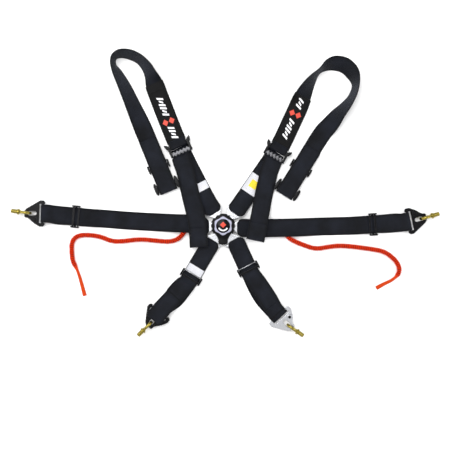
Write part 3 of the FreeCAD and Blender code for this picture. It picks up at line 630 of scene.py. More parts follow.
UPPER_LAYER = 4.0
TAIL_OVER = 21.4
FLAP_LAYER = 11.8
SMOOTH_BAR = 7.2
SMOOTH_TURN = 4.4
GRIP_BACK = -21.0
GRIP_TURN = 3.5
END_BAR = 9.0
SHOULDERS = {
    "right": {
        "lower": [(-42.8, 66.5, 8.6, 119), (-64.0, 106.5, LOW + 1.0, 117), (-88.0, 153.0, LOW, 117)],
        "adjuster": (-122.5, 221.0, 114.0),
        "upper": [(-140.0, 261.5, 112.5), (-161.5, 316.0, 111.5), (-182.5, 371.0, 110.5)],
        "loop": [
            (-190.5, 392.0, 112, -14), (-198.5, 412.2, 114, -42), (-208.5, 433.0, 121, -54),
            (-229.0, 455.5, 141, -64), (-254.0, 467.5, 163, -68), (-281.0, 470.0, 186, -76),
            (-297.0, 462.0, 232, -84), (-300.0, 446.0, 271, -80), (-290.5, 424.0, 292, -64),
            (-270.9, 385.0, 294, -50), (-245.7, 328.0, 293.5, -36), (-227.0, 284.0, 293, -18),
        ],
        "landing": (-214.0, 252.0, 293.0), "end": (-150.5, 98.5, 292.5), "slide_back": 70.0, "flap": 150.0,
        "tail": [
            (-117.0, 193.0, 7.6, -68), (-104.0, 150.0, 5.2, -71), (-95.5, 112.0, 5.6, -75),
            (-87.0, 75.0, 9.4, -76),
            (-77.0, 38.0, TAIL_OVER, -78), (-70.5, 8.0, TAIL_OVER + 0.4, -83), (-67.6, -26.0, TAIL_OVER, -86),
            (-66.5, -56.0, TAIL_OVER - 1, -86),
        ],
        "hem": [(-67.0, -40.0, -86), (-68.5, -4.0, -84)],
    },
    "left": {
        "lower": [(49.0, 60.5, 8.6, 56), (76.0, 99.8, LOW + 1.0, 56), (104.0, 140.5, LOW, 55.5)],
        "adjuster": (150.0, 207.5, 60.0),
        "upper": [(170.5, 247.0, 63.5), (188.0, 285.0, 64.8), (205.5, 323.0, 66)],
        "loop": [
            (214.0, 343.0, 67, 12), (226.0, 369.0, 64, 34), (243.0, 398.0, 57, 60),
            (264.0, 423.5, 45, 80), (284.0, 439.0, 26, 64), (306.0, 445.0, 4, 50),
            (333.0, 439.0, -26, 48), (353.0, 419.0, -60, 54), (362.0, 391.0, -86, 74),
            (355.5, 361.0, -111, 72), (338.0, 333.0, -126, 60), (314.6, 306.0, -130, 42),
            (295.0, 280.0, -126, 20),
        ],
        "landing": (275.5, 257.6, -122.0), "end": (169.5, 88.0, -122.0), "slide_back": 84.0, "flap": 146.0,
        "tail": [
            (139.5, 184.0, 7.6, -112), (127.0, 150.0, 5.2, -108), (119.0, 116.0, 5.6, -105),
            (111.5, 84.0, 9.4, -104), (102.5, 38.0, TAIL_OVER, -103), (96.0, 6.0, TAIL_OVER + 0.4, -103),
            (91.0, -22.0, TAIL_OVER, -102),
            (88.0, -38.0, TAIL_OVER - 1, -102),
        ],
        "hem": [(91.0, -24.0, -102), (97.0, 8.0, -103)],
    },
}
HEM_LIFT = 3.4


def on_edge(x, y, heading, roll, clear=0.4):
    """A station of a strap that stands on its lower edge, clear of the floor."""
    lift = 25.0 * abs(math.sin(math.radians(roll))) + 0.75 * abs(math.cos(math.radians(roll)))
    return station(x, y, clear + lift, heading, roll)


for side, belt in SHOULDERS.items():
    x, y, out = belt["adjuster"]
    end_x, end_y, end_out = belt["end"]
    upper_body = side + "_shoulder_upper"

    stations = sewn_turn(side + "_shoulder", *belt["lower"][:2]) + [station(*spot) for spot in belt["lower"]]
    last_x, last_y = belt["lower"][-1][:2]
    way = math.degrees(math.atan2(y - last_y, x - last_x))
    stations += [along(x, y, way, -40, LOW), along(x, y, way, -5, LOW)]
    lower = ribbon(side + "_lower_shoulder_strap", stations, widths=rounded_turn(stations), step=0.003)
    belt_piece(lower, side + "_shoulder_belt", side + "_lower_strap")

    stations = [along(x, y, out, 19, UPPER_LAYER + 1.9), along(x, y, out, 10, SMOOTH_BAR + 1.6)]
    stations += bend(x, y, SMOOTH_BAR, out, SMOOTH_TURN, 75, 270)
    stations += [along(x, y, out, 14, UPPER_LAYER)]
    stations += [station(sx, sy, UPPER_LAYER, h) for sx, sy, h in belt["upper"]]
    stations += [on_edge(*spot) for spot in belt["loop"]]
    land_x, land_y, land_heading = belt["landing"]
    stations += [station(land_x, land_y, SLIDE_LAYERS[1], land_heading)]
    stations += [along(end_x, end_y, end_out, -belt["slide_back"], SLIDE_LAYERS[1])]
    stations += [along(end_x, end_y, end_out, -26, 4.4)]
    stations += bend(end_x, end_y, END_BAR, end_out, FOLD, -90, 90)
    stations += [
        along(end_x, end_y, end_out, -22, END_BAR + FOLD - 0.2),
        along(end_x, end_y, end_out, -52, FLAP_LAYER + 1.0),
        along(end_x, end_y, end_out, -belt["slide_back"] - 4, FLAP_LAYER + 0.6),
        along(end_x, end_y, end_out, -belt["slide_back"] - 40, FLAP_LAYER - 0.4),
        along(end_x, end_y, end_out, -belt["flap"], FLAP_LAYER - 1.6),
    ]
    upper = ribbon(side + "_upper_shoulder_strap", stations)
    crossing = [in_metres_at(end_x, end_y, end_out, reach) for reach in (-62, -30)]
    belt_piece(upper, upper_body, side + "_shoulder_strap",
               bends=(side + "_wrap_end", *crossing))

    stations = [along(x, y, out, -46, 2.9), along(x, y, out, -30, 3.0)]
    grip = along(x, y, out, GRIP_BACK, 0)
    stations += bend(grip[0] * 1000, grip[1] * 1000, 7.2, out, GRIP_TURN, -80, 80)
    stations += [along(x, y, out, -26, 10.2)]
    stations += [station(tx, ty, tz, h + 180) for tx, ty, tz, h in belt["tail"]]
    last_x, last_y, last_z, last_heading = belt["tail"][-1]
    turn = bend(last_x, last_y, last_z + HEM_LIFT / 2, last_heading, HEM_LIFT / 2, -60, 60, 5)
    stations += [[*spot[:3], *heading_across(last_heading + 180)] for spot in turn]
    stations += [station(hx, hy, TAIL_OVER + HEM_LIFT - 0.6, h + 180) for hx, hy, h in belt["hem"]]
    tail = ribbon(side + "_pull_tail", stations)
    crossing = [in_metres_at(x, y, out, reach) for reach in (-52, -22)]
    belt_piece(tail, upper_body, side + "_tail",
               bends=(side + "_adjuster", *crossing))


# ---- metal finishes ------------------------------------------------------------------------------
# Pressed steel, plated black, bright or yellow. Edges carry a painted highlight, or a painted dark reflection
# on the bright plate, and faces are faintly uneven.

def painted_edge_group():
    """Mask of sharp edges for the painted edge colour, broken up by a fine grain, and the normal of the edge
    when it is rounded off.
    """
    tree = bpy.data.node_groups.new("painted_edge", "ShaderNodeTree")
    tree.interface.new_socket("Radius", in_out="INPUT", socket_type="NodeSocketFloat")
    tree.interface.new_socket("Amount", in_out="INPUT", socket_type="NodeSocketFloat")
    tree.interface.new_socket("Mask", in_out="OUTPUT", socket_type="NodeSocketFloat")
    tree.interface.new_socket("Grain", in_out="OUTPUT", socket_type="NodeSocketFloat")
    tree.interface.new_socket("Normal", in_out="OUTPUT", socket_type="NodeSocketVector")
    source, result = tree.nodes.new("NodeGroupInput"), tree.nodes.new("NodeGroupOutput")
    link = tree.links.new
    bevel = tree.nodes.new("ShaderNodeBevel")
    bevel.samples = 6
    link(source.outputs["Radius"], bevel.inputs["Radius"])
    surface = tree.nodes.new("ShaderNodeNewGeometry")
    match = tree.nodes.new("ShaderNodeVectorMath")
    match.operation = "DOT_PRODUCT"
    link(bevel.outputs[0], match.inputs[0])
    link(surface.outputs["Normal"], match.inputs[1])
    edge = tree.nodes.new("ShaderNodeMapRange")
    edge.inputs["From Min"].default_value = 0.985
    edge.inputs["From Max"].default_value = 0.80
    link(match.outputs["Value"], edge.inputs["Value"])
    place = tree.nodes.new("ShaderNodeTexCoord")
    grain = tree.nodes.new("ShaderNodeTexNoise")
    grain.inputs["Scale"].default_value = 260
    grain.inputs["Detail"].default_value = 5
    link(place.outputs["Object"], grain.inputs["Vector"])
    grain_patches = tree.nodes.new("ShaderNodeMapRange")
    grain_patches.inputs["From Min"].default_value = 0.35
    grain_patches.inputs["From Max"].default_value = 0.6
    link(grain.outputs["Fac"], grain_patches.inputs["Value"])
    broken = tree.nodes.new("ShaderNodeMath")
    broken.operation = "MULTIPLY"
    link(edge.outputs["Result"], broken.inputs[0])
    link(grain_patches.outputs["Result"], broken.inputs[1])
    scaled = tree.nodes.new("ShaderNodeMath")
    scaled.operation = "MULTIPLY"
    scaled.use_clamp = True
    link(broken.outputs[0], scaled.inputs[0])
    link(source.outputs["Amount"], scaled.inputs[1])
    link(scaled.outputs[0], result.inputs["Mask"])
    link(grain.outputs["Fac"], result.inputs["Grain"])
    link(bevel.outputs[0], result.inputs["Normal"])
    return tree


painted_edge = painted_edge_group()


def plated(name, face, edge, metal=1.0, rough=(0.2, 0.35), edge_paint_amount=0.6, radius=0.0006, gloss=0.5,
           relief=0.00004):
    """A plated or moulded surface: face colour, an edge colour painted on as a highlight or a dark
    reflection, and a roughness that follows the grain.
    """
    material, nodes, links, shader = plain_nodes(name)
    edge_paint = nodes.new("ShaderNodeGroup")
    edge_paint.node_tree = painted_edge
    edge_paint.inputs["Radius"].default_value = radius
    edge_paint.inputs["Amount"].default_value = edge_paint_amount
    tone = nodes.new("ShaderNodeMix")
    tone.data_type = "RGBA"
    tone.inputs["A"].default_value = (*(0.92 * c for c in face), 1)
    tone.inputs["B"].default_value = (*(1.08 * c for c in face), 1)
    links.new(edge_paint.outputs["Grain"], tone.inputs["Factor"])
    colour = nodes.new("ShaderNodeMix")
    colour.data_type = "RGBA"
    colour.inputs["B"].default_value = (*edge, 1)
    links.new(edge_paint.outputs["Mask"], colour.inputs["Factor"])
    links.new(tone.outputs["Result"], colour.inputs["A"])
    links.new(colour.outputs["Result"], shader.inputs["Base Color"])
    spread = nodes.new("ShaderNodeMapRange")
    spread.inputs["From Min"].default_value = 0.3
    spread.inputs["From Max"].default_value = 0.7
    spread.inputs["To Min"].default_value = rough[0]
    spread.inputs["To Max"].default_value = rough[1]
    links.new(edge_paint.outputs["Grain"], spread.inputs["Value"])
    links.new(spread.outputs["Result"], shader.inputs["Roughness"])
    bump = nodes.new("ShaderNodeBump")
    bump.inputs["Distance"].default_value = relief
    links.new(edge_paint.outputs["Grain"], bump.inputs["Height"])
    links.new(edge_paint.outputs["Normal"], bump.inputs["Normal"])
    links.new(bump.outputs["Normal"], shader.inputs["Normal"])
    shader.inputs["Metallic"].default_value = metal
    shader.inputs["Specular IOR Level"].default_value = gloss
    return material


# Edge colours are painted light: a dark reflection on the bright plate and a highlight on every other finish.
bright_plate = plated("bright_plated_steel", (0.60, 0.61, 0.64), (0.02, 0.02, 0.022), rough=(0.16, 0.24),
                      edge_paint_amount=1.6, radius=0.0018, relief=0.000006)
black_plate = plated("black_plated_steel", (0.0025, 0.0025, 0.0032), (0.20, 0.20, 0.22), metal=0.0,
                     rough=(0.26, 0.38), edge_paint_amount=0.6, gloss=0.12)
black_plate_lit_edges = plated("black_steel_lit_edges", (0.07, 0.07, 0.075), (0.55, 0.56, 0.60), rough=(0.2, 0.32),
                      edge_paint_amount=1.5, radius=0.0011)
plain_plate = plated("plain_steel", (0.38, 0.38, 0.40), (0.6, 0.6, 0.62), rough=(0.3, 0.5))
yellow_plate = plated("yellow_zinc", (0.30, 0.24, 0.045), (0.70, 0.62, 0.25), rough=(0.12, 0.28), edge_paint_amount=0.6)
black_moulding = plated("black_moulding", (0.004, 0.004, 0.0045), (0.035, 0.035, 0.04), metal=0.0,
                        rough=(0.32, 0.45), edge_paint_amount=0.4, radius=0.0012, gloss=0.10)
satin_aluminium = plated("satin_aluminium", (0.27, 0.27, 0.34), (0.55, 0.55, 0.64), rough=(0.3, 0.42),
                         edge_paint_amount=0.8)


def finish_node(node, material):
    """Give one of the frame's own parts its finish."""
    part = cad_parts[node]
    part.data.materials.clear()
    part.data.materials.append(material)


BELT_NAMES = list(BELTS)
SHOULDER_NAMES = list(SHOULDERS)
for name in BELT_NAMES:
    finish_node(name + "_tongue", bright_plate)
    finish_node(name + "_slide", black_plate)
    hook_finish = bright_plate if name == "left_leg" else black_plate
    finish_node(name + "_hook", hook_finish)
    finish_node(name + "_gate", hook_finish)
for side in SHOULDER_NAMES:
    finish_node(side + "_shoulder_tongue", bright_plate)
    finish_node(side + "_shoulder_slide", black_plate)
for node in ("housing_rivets", "locking_pins", "pin_springs", "cam_plate", "knob_spindle"):
    finish_node(node, plain_plate)
finish_node("buckle_housing", black_moulding)
finish_node("buckle_back_plate", black_plate)
finish_node("knob_grip", black_moulding)
finish_node("knob_insert", satin_aluminium)


# ---- eyebolts and gate rivets --------------------------------------------------------------------
# Forged eyebolts with a rolled thread, plated yellow, one hanging in each hook. Each gate turns on a rivet.

SHARP_ANGLE = math.radians(40)
EYE_RADIUS = 0.013
EYE_WIRE = 0.00385
EYE_CENTRE = 0.0455
EYE_HEIGHT = 0.01705
EYE_SWIVEL = 0.0335
SHANK_RADIUS = 0.0060
COLLAR_RADIUS = 0.0079
THREAD_PITCH = 0.00127
THREAD_DEPTH = 0.0007
COLLAR_START = 0.0625
COLLAR_EDGE = 0.0066
NECK = [(0.0575, 0.0042), (0.0585, 0.0049), (0.0605, 0.005), (0.0628, 0.0056)]
SHANK_START = 0.0675
SHANK_END = 0.0845
BOLT_TURNS = {"right_lap": -5.0, "left_lap": 4.0, "right_leg": -6.0, "left_leg": 12.0}
GATE_PIVOT = (0.021, 0.018)
GATE_TOP = 0.0151
RIVET_HEAD = [
    (0.0, 0.0001), (0.0, 0.0038), (0.0006, 0.0041), (0.0013, 0.0034), (0.0017, 0.0020), (0.0018, 0.0001),
]


def grid_faces(rows, columns, close_rows=False):
    """Quads of a grid whose columns close round; its rows close too if asked, or are left open."""
    index = np.arange(rows * columns).reshape(rows, columns)
    below = np.roll(index, -1, axis=0) if close_rows else index[1:]
    above = index if close_rows else index[:-1]
    corners = [above, np.roll(above, -1, axis=1), np.roll(below, -1, axis=1), below]
    return np.stack(corners, axis=-1).reshape(-1, 4)


def turned_part(profile, around=32, thread=None):
    """Closed surface of revolution about +X through rows of (x, radius).

    A thread lowers the radius by d * |2 frac(x / pitch + a / 2 pi) - 1| at angle a."""
    x, radius = np.array(profile, float).T
    angle = np.linspace(0, 2 * math.pi, around, endpoint=False)
    grown = np.repeat(radius[:, None], around, axis=1)
    if thread is not None:
        start, finish = thread
        wave = np.abs(2 * ((x[:, None] / THREAD_PITCH + angle / (2 * math.pi)) % 1) - 1)
        grown -= np.where((x > start) & (x < finish), THREAD_DEPTH, 0)[:, None] * wave
    lengthwise = np.repeat(x[:, None], around, axis=1)
    points = np.stack([lengthwise, grown * np.cos(angle), grown * np.sin(angle)], axis=-1)
    faces = grid_faces(len(x), around).tolist()
    last = (len(x) - 1) * around
    faces += [list(range(around))[::-1], list(range(last, last + around))]
    return points.reshape(-1, 3), faces


def eye_ring(around=56, section=18):
    """Torus of the forged eye, standing upright along +X."""
    turn = np.linspace(0, 2 * math.pi, around, endpoint=False)[:, None]
    angle = np.linspace(0, 2 * math.pi, section, endpoint=False)
    reach = EYE_RADIUS + EYE_WIRE * np.cos(angle)
    sideways_part = EYE_WIRE * np.sin(angle) + 0 * turn
    points = np.stack([reach * np.cos(turn), sideways_part, reach * np.sin(turn)], axis=-1)
    return points.reshape(-1, 3) + [EYE_CENTRE, 0, 0], grid_faces(around, section, close_rows=True).tolist()


def joined(shapes):
    """Several (points, faces) as one."""
    points, faces, start = [], [], 0
    for shape_points, shape_faces in shapes:
        points.append(shape_points)
        faces += [[start + corner for corner in face] for face in shape_faces]
        start += len(shape_points)
    return np.vstack(points), faces


def set_down(points, spot):
    """Points drawn along +X from a bar, moved to their place on the floor plan."""
    x, y, heading = spot
    c, s = math.cos(math.radians(heading)), math.sin(math.radians(heading))
    return points @ np.array([[c, s, 0], [-s, c, 0], [0, 0, 1]]) + [x / 1000, y / 1000, 0]


for name in BELT_NAMES:
    neck = turned_part(NECK)
    collar = turned_part([(COLLAR_START, COLLAR_EDGE), (COLLAR_START + 0.0007, COLLAR_RADIUS),
                          (COLLAR_START + 0.0042, COLLAR_RADIUS), (COLLAR_START + 0.0049, COLLAR_EDGE)])
    rows = np.arange(SHANK_START, SHANK_END - 0.001, THREAD_PITCH / 8)
    profile = [(SHANK_START - 0.001, SHANK_RADIUS)] + [(x, SHANK_RADIUS) for x in rows]
    profile += [(SHANK_END, SHANK_RADIUS - 0.001), (SHANK_END + 0.0001, SHANK_RADIUS - 0.002)]
    shank = turned_part(profile, thread=(SHANK_START, SHANK_END - 0.001))
    points, faces = joined([eye_ring(), neck, collar, shank])
    turn = math.radians(BOLT_TURNS[name])
    c, s = math.cos(turn), math.sin(turn)
    swivel = np.array([[c, s, 0], [-s, c, 0], [0, 0, 1]])
    points = (points - [EYE_SWIVEL, 0, 0]) @ swivel + [EYE_SWIVEL, 0, EYE_HEIGHT]
    bolt = new_object(name + "_threaded_eyebolt", set_down(points, BELTS[name]["bar"]), faces)
    bolt.data.set_sharp_from_angle(angle=SHARP_ANGLE)
    bolt.data.materials.append(yellow_plate)
    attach(bolt, name + "_eyebolt_body")
    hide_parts(name + "_eyebolt")

    points, faces = turned_part(RIVET_HEAD, around=24)
    points = points[:, [2, 1, 0]] * [1, -1, 1] + [*GATE_PIVOT, GATE_TOP + 0.0002]
    rivet = new_object(name + "_gate_rivet", set_down(points, BELTS[name]["bar"]), faces)
    rivet.data.set_sharp_from_angle(angle=SHARP_ANGLE)
    rivet.data.materials.append(black_plate)
    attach(rivet, name + "_hook_body")


# ---- sewn trim: sleeves, labels and leg flaps ----------------------------------------------------
# Smooth black sleeves cover the upper straps and carry a white and red printed pattern; a thin lighter strip
# at each sleeve's near end is a painted highlight. Blank white labels are sewn to three straps, one with a
# yellow patch. A flap thickens each leg strap near its hook, and a dark strip of painted shadow lies along
# the flap's end.

PRINT_THICK = 0.00012
HEM_HALF = 0.0262
LABEL_HALF = 0.0234
PATCH_START = (78.0, 106.0)
PATCH_LENGTH = 0.022
PATCH_SIDES = (-0.010, 0.012)


def on_ribbon(name, run, across, lift):
    """Points on a ribbon's upper face, a run along it, a distance across it and a lift off it."""
    line, centre, side, out, thickness = RIBBON_LINES[name]
    run, across, lift = np.broadcast_arrays(run, across, lift)
    flat = run.ravel()

    def at(rows):
        return np.column_stack([np.interp(flat, line, rows[:, k]) for k in range(3)])

    upward = at(out)
    upward *= np.where(upward[:, 2:] > 0, 1.0, -1.0)
    offset = across.ravel()[:, None] * at(side) + (lift.ravel() + thickness / 2)[:, None] * upward
    return (at(centre) + offset).reshape(*run.shape, 3)


def run_near(name, x, y):
    """Distance along a ribbon of its highest point near a place in millimetres."""
    run, centre = RIBBON_LINES[name][:2]
    away = np.hypot(centre[:, 0] - x / 1000, centre[:, 1] - y / 1000) - 0.2 * centre[:, 2]
    return run[np.argmin(away)]


def patch(name, belt, start, finish, left, right, thickness=0.0004, rows=24, columns=12):
    """A thin closed layer that lies on a ribbon between two runs and two distances across it."""
    run = np.linspace(start, finish, rows)[:, None]
    across = np.linspace(left, right, columns)[None]
    layers = np.concatenate([on_ribbon(belt, run, across, -0.0001), on_ribbon(belt, run, across, thickness)])
    index = np.arange(2 * rows * columns).reshape(2, rows, columns)
    faces = []
    for layer, flip in ((0, 1), (1, -1)):
        part = index[layer]
        quads = np.stack([part[:-1, :-1], part[1:, :-1], part[1:, 1:], part[:-1, 1:]], axis=-1).reshape(-1, 4)
        faces += quads[:, ::flip].tolist()
    sides = [index[:, 0, :], index[:, 1:, -1], index[:, -1, -2::-1], index[:, -2:0:-1, 0]]
    rim = np.concatenate([side.T for side in sides])
    after = np.roll(rim, -1, axis=0)
    faces += np.stack([rim[:, 0], rim[:, 1], after[:, 1], after[:, 0]], axis=-1).tolist()
    made = new_object(name, layers.reshape(-1, 3), faces)
    outward(made)
    layer = made.data.uv_layers.new(name="Weave")
    loops = np.zeros(len(made.data.loops), int)
    made.data.loops.foreach_get("vertex_index", loops)
    place = np.stack(np.broadcast_arrays(across, run), axis=-1).reshape(-1, 2)
    layer.data.foreach_set("uv", np.tile(place, (2, 1))[loops].ravel())
    made["length"] = float(finish - start)
    made.data.set_sharp_from_angle(angle=math.radians(50))
    return made


def outward(made):
    """Turn a closed mesh's faces outwards."""
    mesh = bmesh.new()
    mesh.from_mesh(made.data)
    bmesh.ops.recalc_face_normals(mesh, faces=mesh.faces)
    mesh.to_mesh(made.data)
    mesh.free()


def slabs(name, belt, shapes, thickness):
    """Flat closed tiles on a ribbon, one for each convex outline of (run, across)."""
    points, faces = [], []
    for shape in shapes:
        run, across = np.array(shape, float).T
        start, corners = len(points), len(shape)
        for lift in (-0.00005, thickness):
            points += on_ribbon(belt, run, across, lift).tolist()
        low, high = list(range(start, start + corners)), list(range(start + corners, start + 2 * corners))
        faces += [low[::-1], high]
        faces += [[low[k - 1], low[k], high[k], high[k - 1]] for k in range(corners)]
    made = new_object(name, points, faces, smooth=False)
    outward(made)
    return made


def sewn_on(made, body, material):
    """Finish a sewn or printed piece that lies on a strap."""
    made.data.materials.append(material)
    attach(made, body)
    return made


# The lighter colour of each cloth is painted sheen along its middle.
sleeve_cloth = cloth_material("smooth_black_sleeve", (0.0022, 0.0022, 0.0024), (0.0045, 0.0045, 0.005),
                              rib=9000, rough=0.5, sheen=0.0, gloss=0.1, relief=0.00012)
# Lighter hem cloth: the far hems' own colour, and a painted highlight on the thin near hem.
hem_and_highlight_cloth = cloth_material("sleeve_hem_and_highlight", (0.005, 0.005, 0.0055), (0.009, 0.009, 0.010), rib=5200,
                           rough=0.55, sheen=0.0, gloss=0.12, relief=0.0002)
label_cloth = cloth_material("white_label_tape", (0.60, 0.61, 0.65), (0.76, 0.76, 0.80), rib=7000,
                             rough=0.6, sheen=0.0, gloss=0.3, relief=0.0001)
yellow_cloth = cloth_material("yellow_label_patch", (0.80, 0.62, 0.02), (0.90, 0.74, 0.05), rib=7000,
                              rough=0.6, sheen=0.0, gloss=0.3, relief=0.0001)


def ink(name, colour):
    """Screen-print ink: slightly uneven, with the cloth's grain showing through."""
    material, nodes, links, shader = plain_nodes(name)
    place = nodes.new("ShaderNodeTexCoord")
    grain = nodes.new("ShaderNodeTexNoise")
    grain.inputs["Scale"].default_value = 700
    links.new(place.outputs["Object"], grain.inputs["Vector"])
    tone = nodes.new("ShaderNodeMix")
    tone.data_type = "RGBA"
    tone.inputs["A"].default_value = (*(0.8 * c for c in colour), 1)
    tone.inputs["B"].default_value = (*colour, 1)
    links.new(grain.outputs["Fac"], tone.inputs["Factor"])
    links.new(tone.outputs["Result"], shader.inputs["Base Color"])
    bump = nodes.new("ShaderNodeBump")
    bump.inputs["Distance"].default_value = 0.0001
    links.new(grain.outputs["Fac"], bump.inputs["Height"])
    links.new(bump.outputs["Normal"], shader.inputs["Normal"])
    shader.inputs["Roughness"].default_value = 0.5
    return material


white_ink = ink("white_print", (0.86, 0.86, 0.88))
red_ink = ink("red_print", (0.62, 0.035, 0.008))


def bar_tile(run, width=5.4, half=8.0, slant=3.6):
    """One slanted bar printed across the strap."""
    return [(run - width / 2 - slant, -half), (run + width / 2 - slant, -half),
            (run + width / 2 + slant, half), (run - width / 2 + slant, half)]


def pattern_tiles(first, last, pitch=9.2):
    """A printed row of slanted stripes between two runs, every third one short."""
    count = int((last - first) / pitch)
    start = (first + last - (count - 1) * pitch) / 2
    return [bar_tile(start + k * pitch, half=5.0 if k % 3 == 1 else 8.4) for k in range(count)]


def flash_tiles(run, length=9.5, half=8.5):
    """Two lozenges side by side across the strap."""
    middles = (-half - 0.7, half + 0.7)
    return [[(run - length, m), (run, m - half), (run + length, m), (run, m + half)] for m in middles]


SLEEVE_WIDTH = 0.0535
SLEEVE_THICKNESS = 0.0034
SLEEVES = {
    "right": {
        "far": [(-190.5, 392.0, 112.0, -14.0)], "rows": [(7, 44), (72, 132)], "flash": 58.0, "hem": 0.021,
    },
    "left": {
        "far": [(214.0, 343.0, 67.0, 12.0), (220.0, 356.0, 65.5, 23.0)], "rows": [(22, 84), (113, 146)],
        "flash": 98.0, "hem": 0.008,
    },
}


def in_metres(tiles):
    """Tiles drawn in millimetres, in metres."""
    return [[(run / 1000, across / 1000) for run, across in tile] for tile in tiles]


for side, sleeve in SLEEVES.items():
    body = side + "_shoulder_upper"
    stations = [along(*SHOULDERS[side]["adjuster"], 14, UPPER_LAYER + 0.2)]
    stations += [station(sx, sy, UPPER_LAYER + 0.1, h) for sx, sy, h in SHOULDERS[side]["upper"]]
    stations += [on_edge(*spot, clear=1.9) for spot in sleeve["far"]]
    name = side + "_sleeve"
    cover = ribbon(name, stations, width=SLEEVE_WIDTH, thickness=SLEEVE_THICKNESS)
    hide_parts(side + "_label_sleeve")
    sewn_on(cover, body, sleeve_cloth)
    whole = cover["length"]
    # The near hem is a thin lighter strip, a painted highlight where the sleeve's edge catches the light; the
    # far hem is the sleeve's own lighter hem band.
    for end, first, last in (("far", whole - sleeve["hem"], whole - 0.0003), ("near", 0.0003, 0.0022)):
        hem = patch(name + "_" + end + "_hem", name, first, last, -HEM_HALF, HEM_HALF, thickness=0.0005)
        sewn_on(hem, body, hem_and_highlight_cloth)
    rows = [tile for first, last in sleeve["rows"] for tile in pattern_tiles(first, last)]
    printed = slabs(name + "_white_print", name, in_metres(rows), PRINT_THICK)
    sewn_on(printed, body, white_ink)
    flash = slabs(name + "_red_print", name, in_metres(flash_tiles(sleeve["flash"])), PRINT_THICK)
    sewn_on(flash, body, red_ink)


def run_above(name, x, y):
    """Run of the upper layer of a folded strap nearest to a place in millimetres."""
    run, centre = RIBBON_LINES[name][:2]
    away = np.hypot(centre[:, 0] - x / 1000, centre[:, 1] - y / 1000)
    away[run < 0.5 * run[-1]] = 1.0
    return float(run[np.argmin(away)])


FLAP_SHADOW_STRIP = 0.0022
FLAPS = {
    "right_leg": {"ends": ((-103.0, -157.0), (-136.0, -185.0)), "half": 0.0266, "thick": 0.0036},
    "left_leg": {"ends": ((135.0, -221.0), (149.0, -241.0)), "half": 0.0249, "thick": 0.0019},
}
for name, flap in FLAPS.items():
    strap = name + "_doubled_strap"
    first, last = sorted(run_above(strap, *spot) for spot in flap["ends"])
    half, thick = flap["half"], flap["thick"]
    layer = patch(name + "_stitched_flap", strap, first, last, -half, half, thickness=thick)
    sewn_on(layer, name + "_end", webbing_cloth)
    # The strip at the flap's end is painted shadow: a band of the darker sleeve cloth where the flap's edge
    # would shade the strap.
    hem = patch(name + "_flap_end_shadow", strap, first - FLAP_SHADOW_STRIP, first, -half, half, thickness=0.9 * thick,
                rows=4)
    sewn_on(hem, name + "_end", sleeve_cloth)

LABELS = {
    "right_shoulder_label": (
        "right_lower_shoulder_strap", "right_shoulder_belt", (-53.0, 98.5), (-62.5, 121.0),
    ),
    "left_shoulder_label": (
        "left_lower_shoulder_strap", "left_shoulder_belt", (68.5, 91.0), (99.0, 136.0),
    ),
    "right_leg_label": ("right_leg_main_strap", "right_leg_belt", (-71.0, -113.0), (-82.0, -131.0)),
}
for name, (strap, body, near, far) in LABELS.items():
    first, last = sorted((run_near(strap, *near), run_near(strap, *far)))
    label = patch(name, strap, first, last, -LABEL_HALF, LABEL_HALF)
    sewn_on(label, body, label_cloth)
strap, body, near, far = LABELS["left_shoulder_label"]
first = run_near(strap, *PATCH_START)
spot = patch("left_shoulder_label_patch", strap, first, first + PATCH_LENGTH, *PATCH_SIDES, thickness=0.0006)
sewn_on(spot, body, yellow_cloth)


# ---- buckle: badge, lower block cover and back pad -----------------------------------------------
# The turning knob carries a domed gloss badge with a printed mark. A moulded cover closes the housing between
# the leg belts, and a cloth-covered pad lies behind the metal.

PAD_RADIUS = 0.0338
PAD_BASE = 0.0004
PAD_HEIGHT = 0.0027
PAD_TAIL = 0.0155
PAD_TAIL_START = 0.90
BADGE_EDGE = 0.0006
PRINT_SINK = 0.0003
ARC_RADIUS, ARC_WIDTH, ARC_SPAN = 0.0125, 0.0038, (205, 335)
LOZENGE_HALF, LOZENGE_MIDDLE = 0.0085, 0.0030
PAD_RINGS = [(0.25, 1.0), (0.5, 0.98), (0.72, 0.92), (0.84, 0.62), (0.90, 0.80), (0.965, 0.55), (1.0, 0.22)]
BLOCK_COVER = [(12, -28), (10.5, -35), (13.5, -41), (12.5, -47), (8.5, -51.5)]
COVER_LOW, COVER_HIGH = 0.0125, 0.0164
BADGE_RADIUS = 0.019
BADGE_RIM = 0.0316
BADGE_TOP = 0.0348


def pressed_plate(outline, holes, low, high, round_off, steps=3):
    """A flat plate with rounded edges, from outlines of (x, y) in metres filled between them."""
    curve = bpy.data.curves.new("outline", "CURVE")
    curve.dimensions = "2D"
    curve.fill_mode = "BOTH"
    curve.extrude = (high - low) / 2 - round_off
    curve.bevel_depth = round_off
    curve.bevel_resolution = steps
    curve.offset = -round_off
    for line in [outline] + holes:
        spline = curve.splines.new("POLY")
        spline.points.add(len(line) - 1)
        for spot, (x, y) in zip(spline.points, line):
            spot.co = (x, y, 0, 1)
        spline.use_cyclic_u = True
    holder = bpy.data.objects.new("outline", curve)
    mesh = bpy.data.meshes.new_from_object(holder)
    solid = bmesh.new()
    solid.from_mesh(mesh)
    bmesh.ops.remove_doubles(solid, verts=solid.verts, dist=1e-6)
    bmesh.ops.recalc_face_normals(solid, faces=solid.faces)
    solid.verts.index_update()
    points = np.array([vert.co[:] for vert in solid.verts]) + [0, 0, (low + high) / 2]
    faces = [[vert.index for vert in face.verts] for face in solid.faces]
    solid.free()
    bpy.data.objects.remove(holder)
    bpy.data.meshes.remove(mesh)
    bpy.data.curves.remove(curve)
    return points, faces


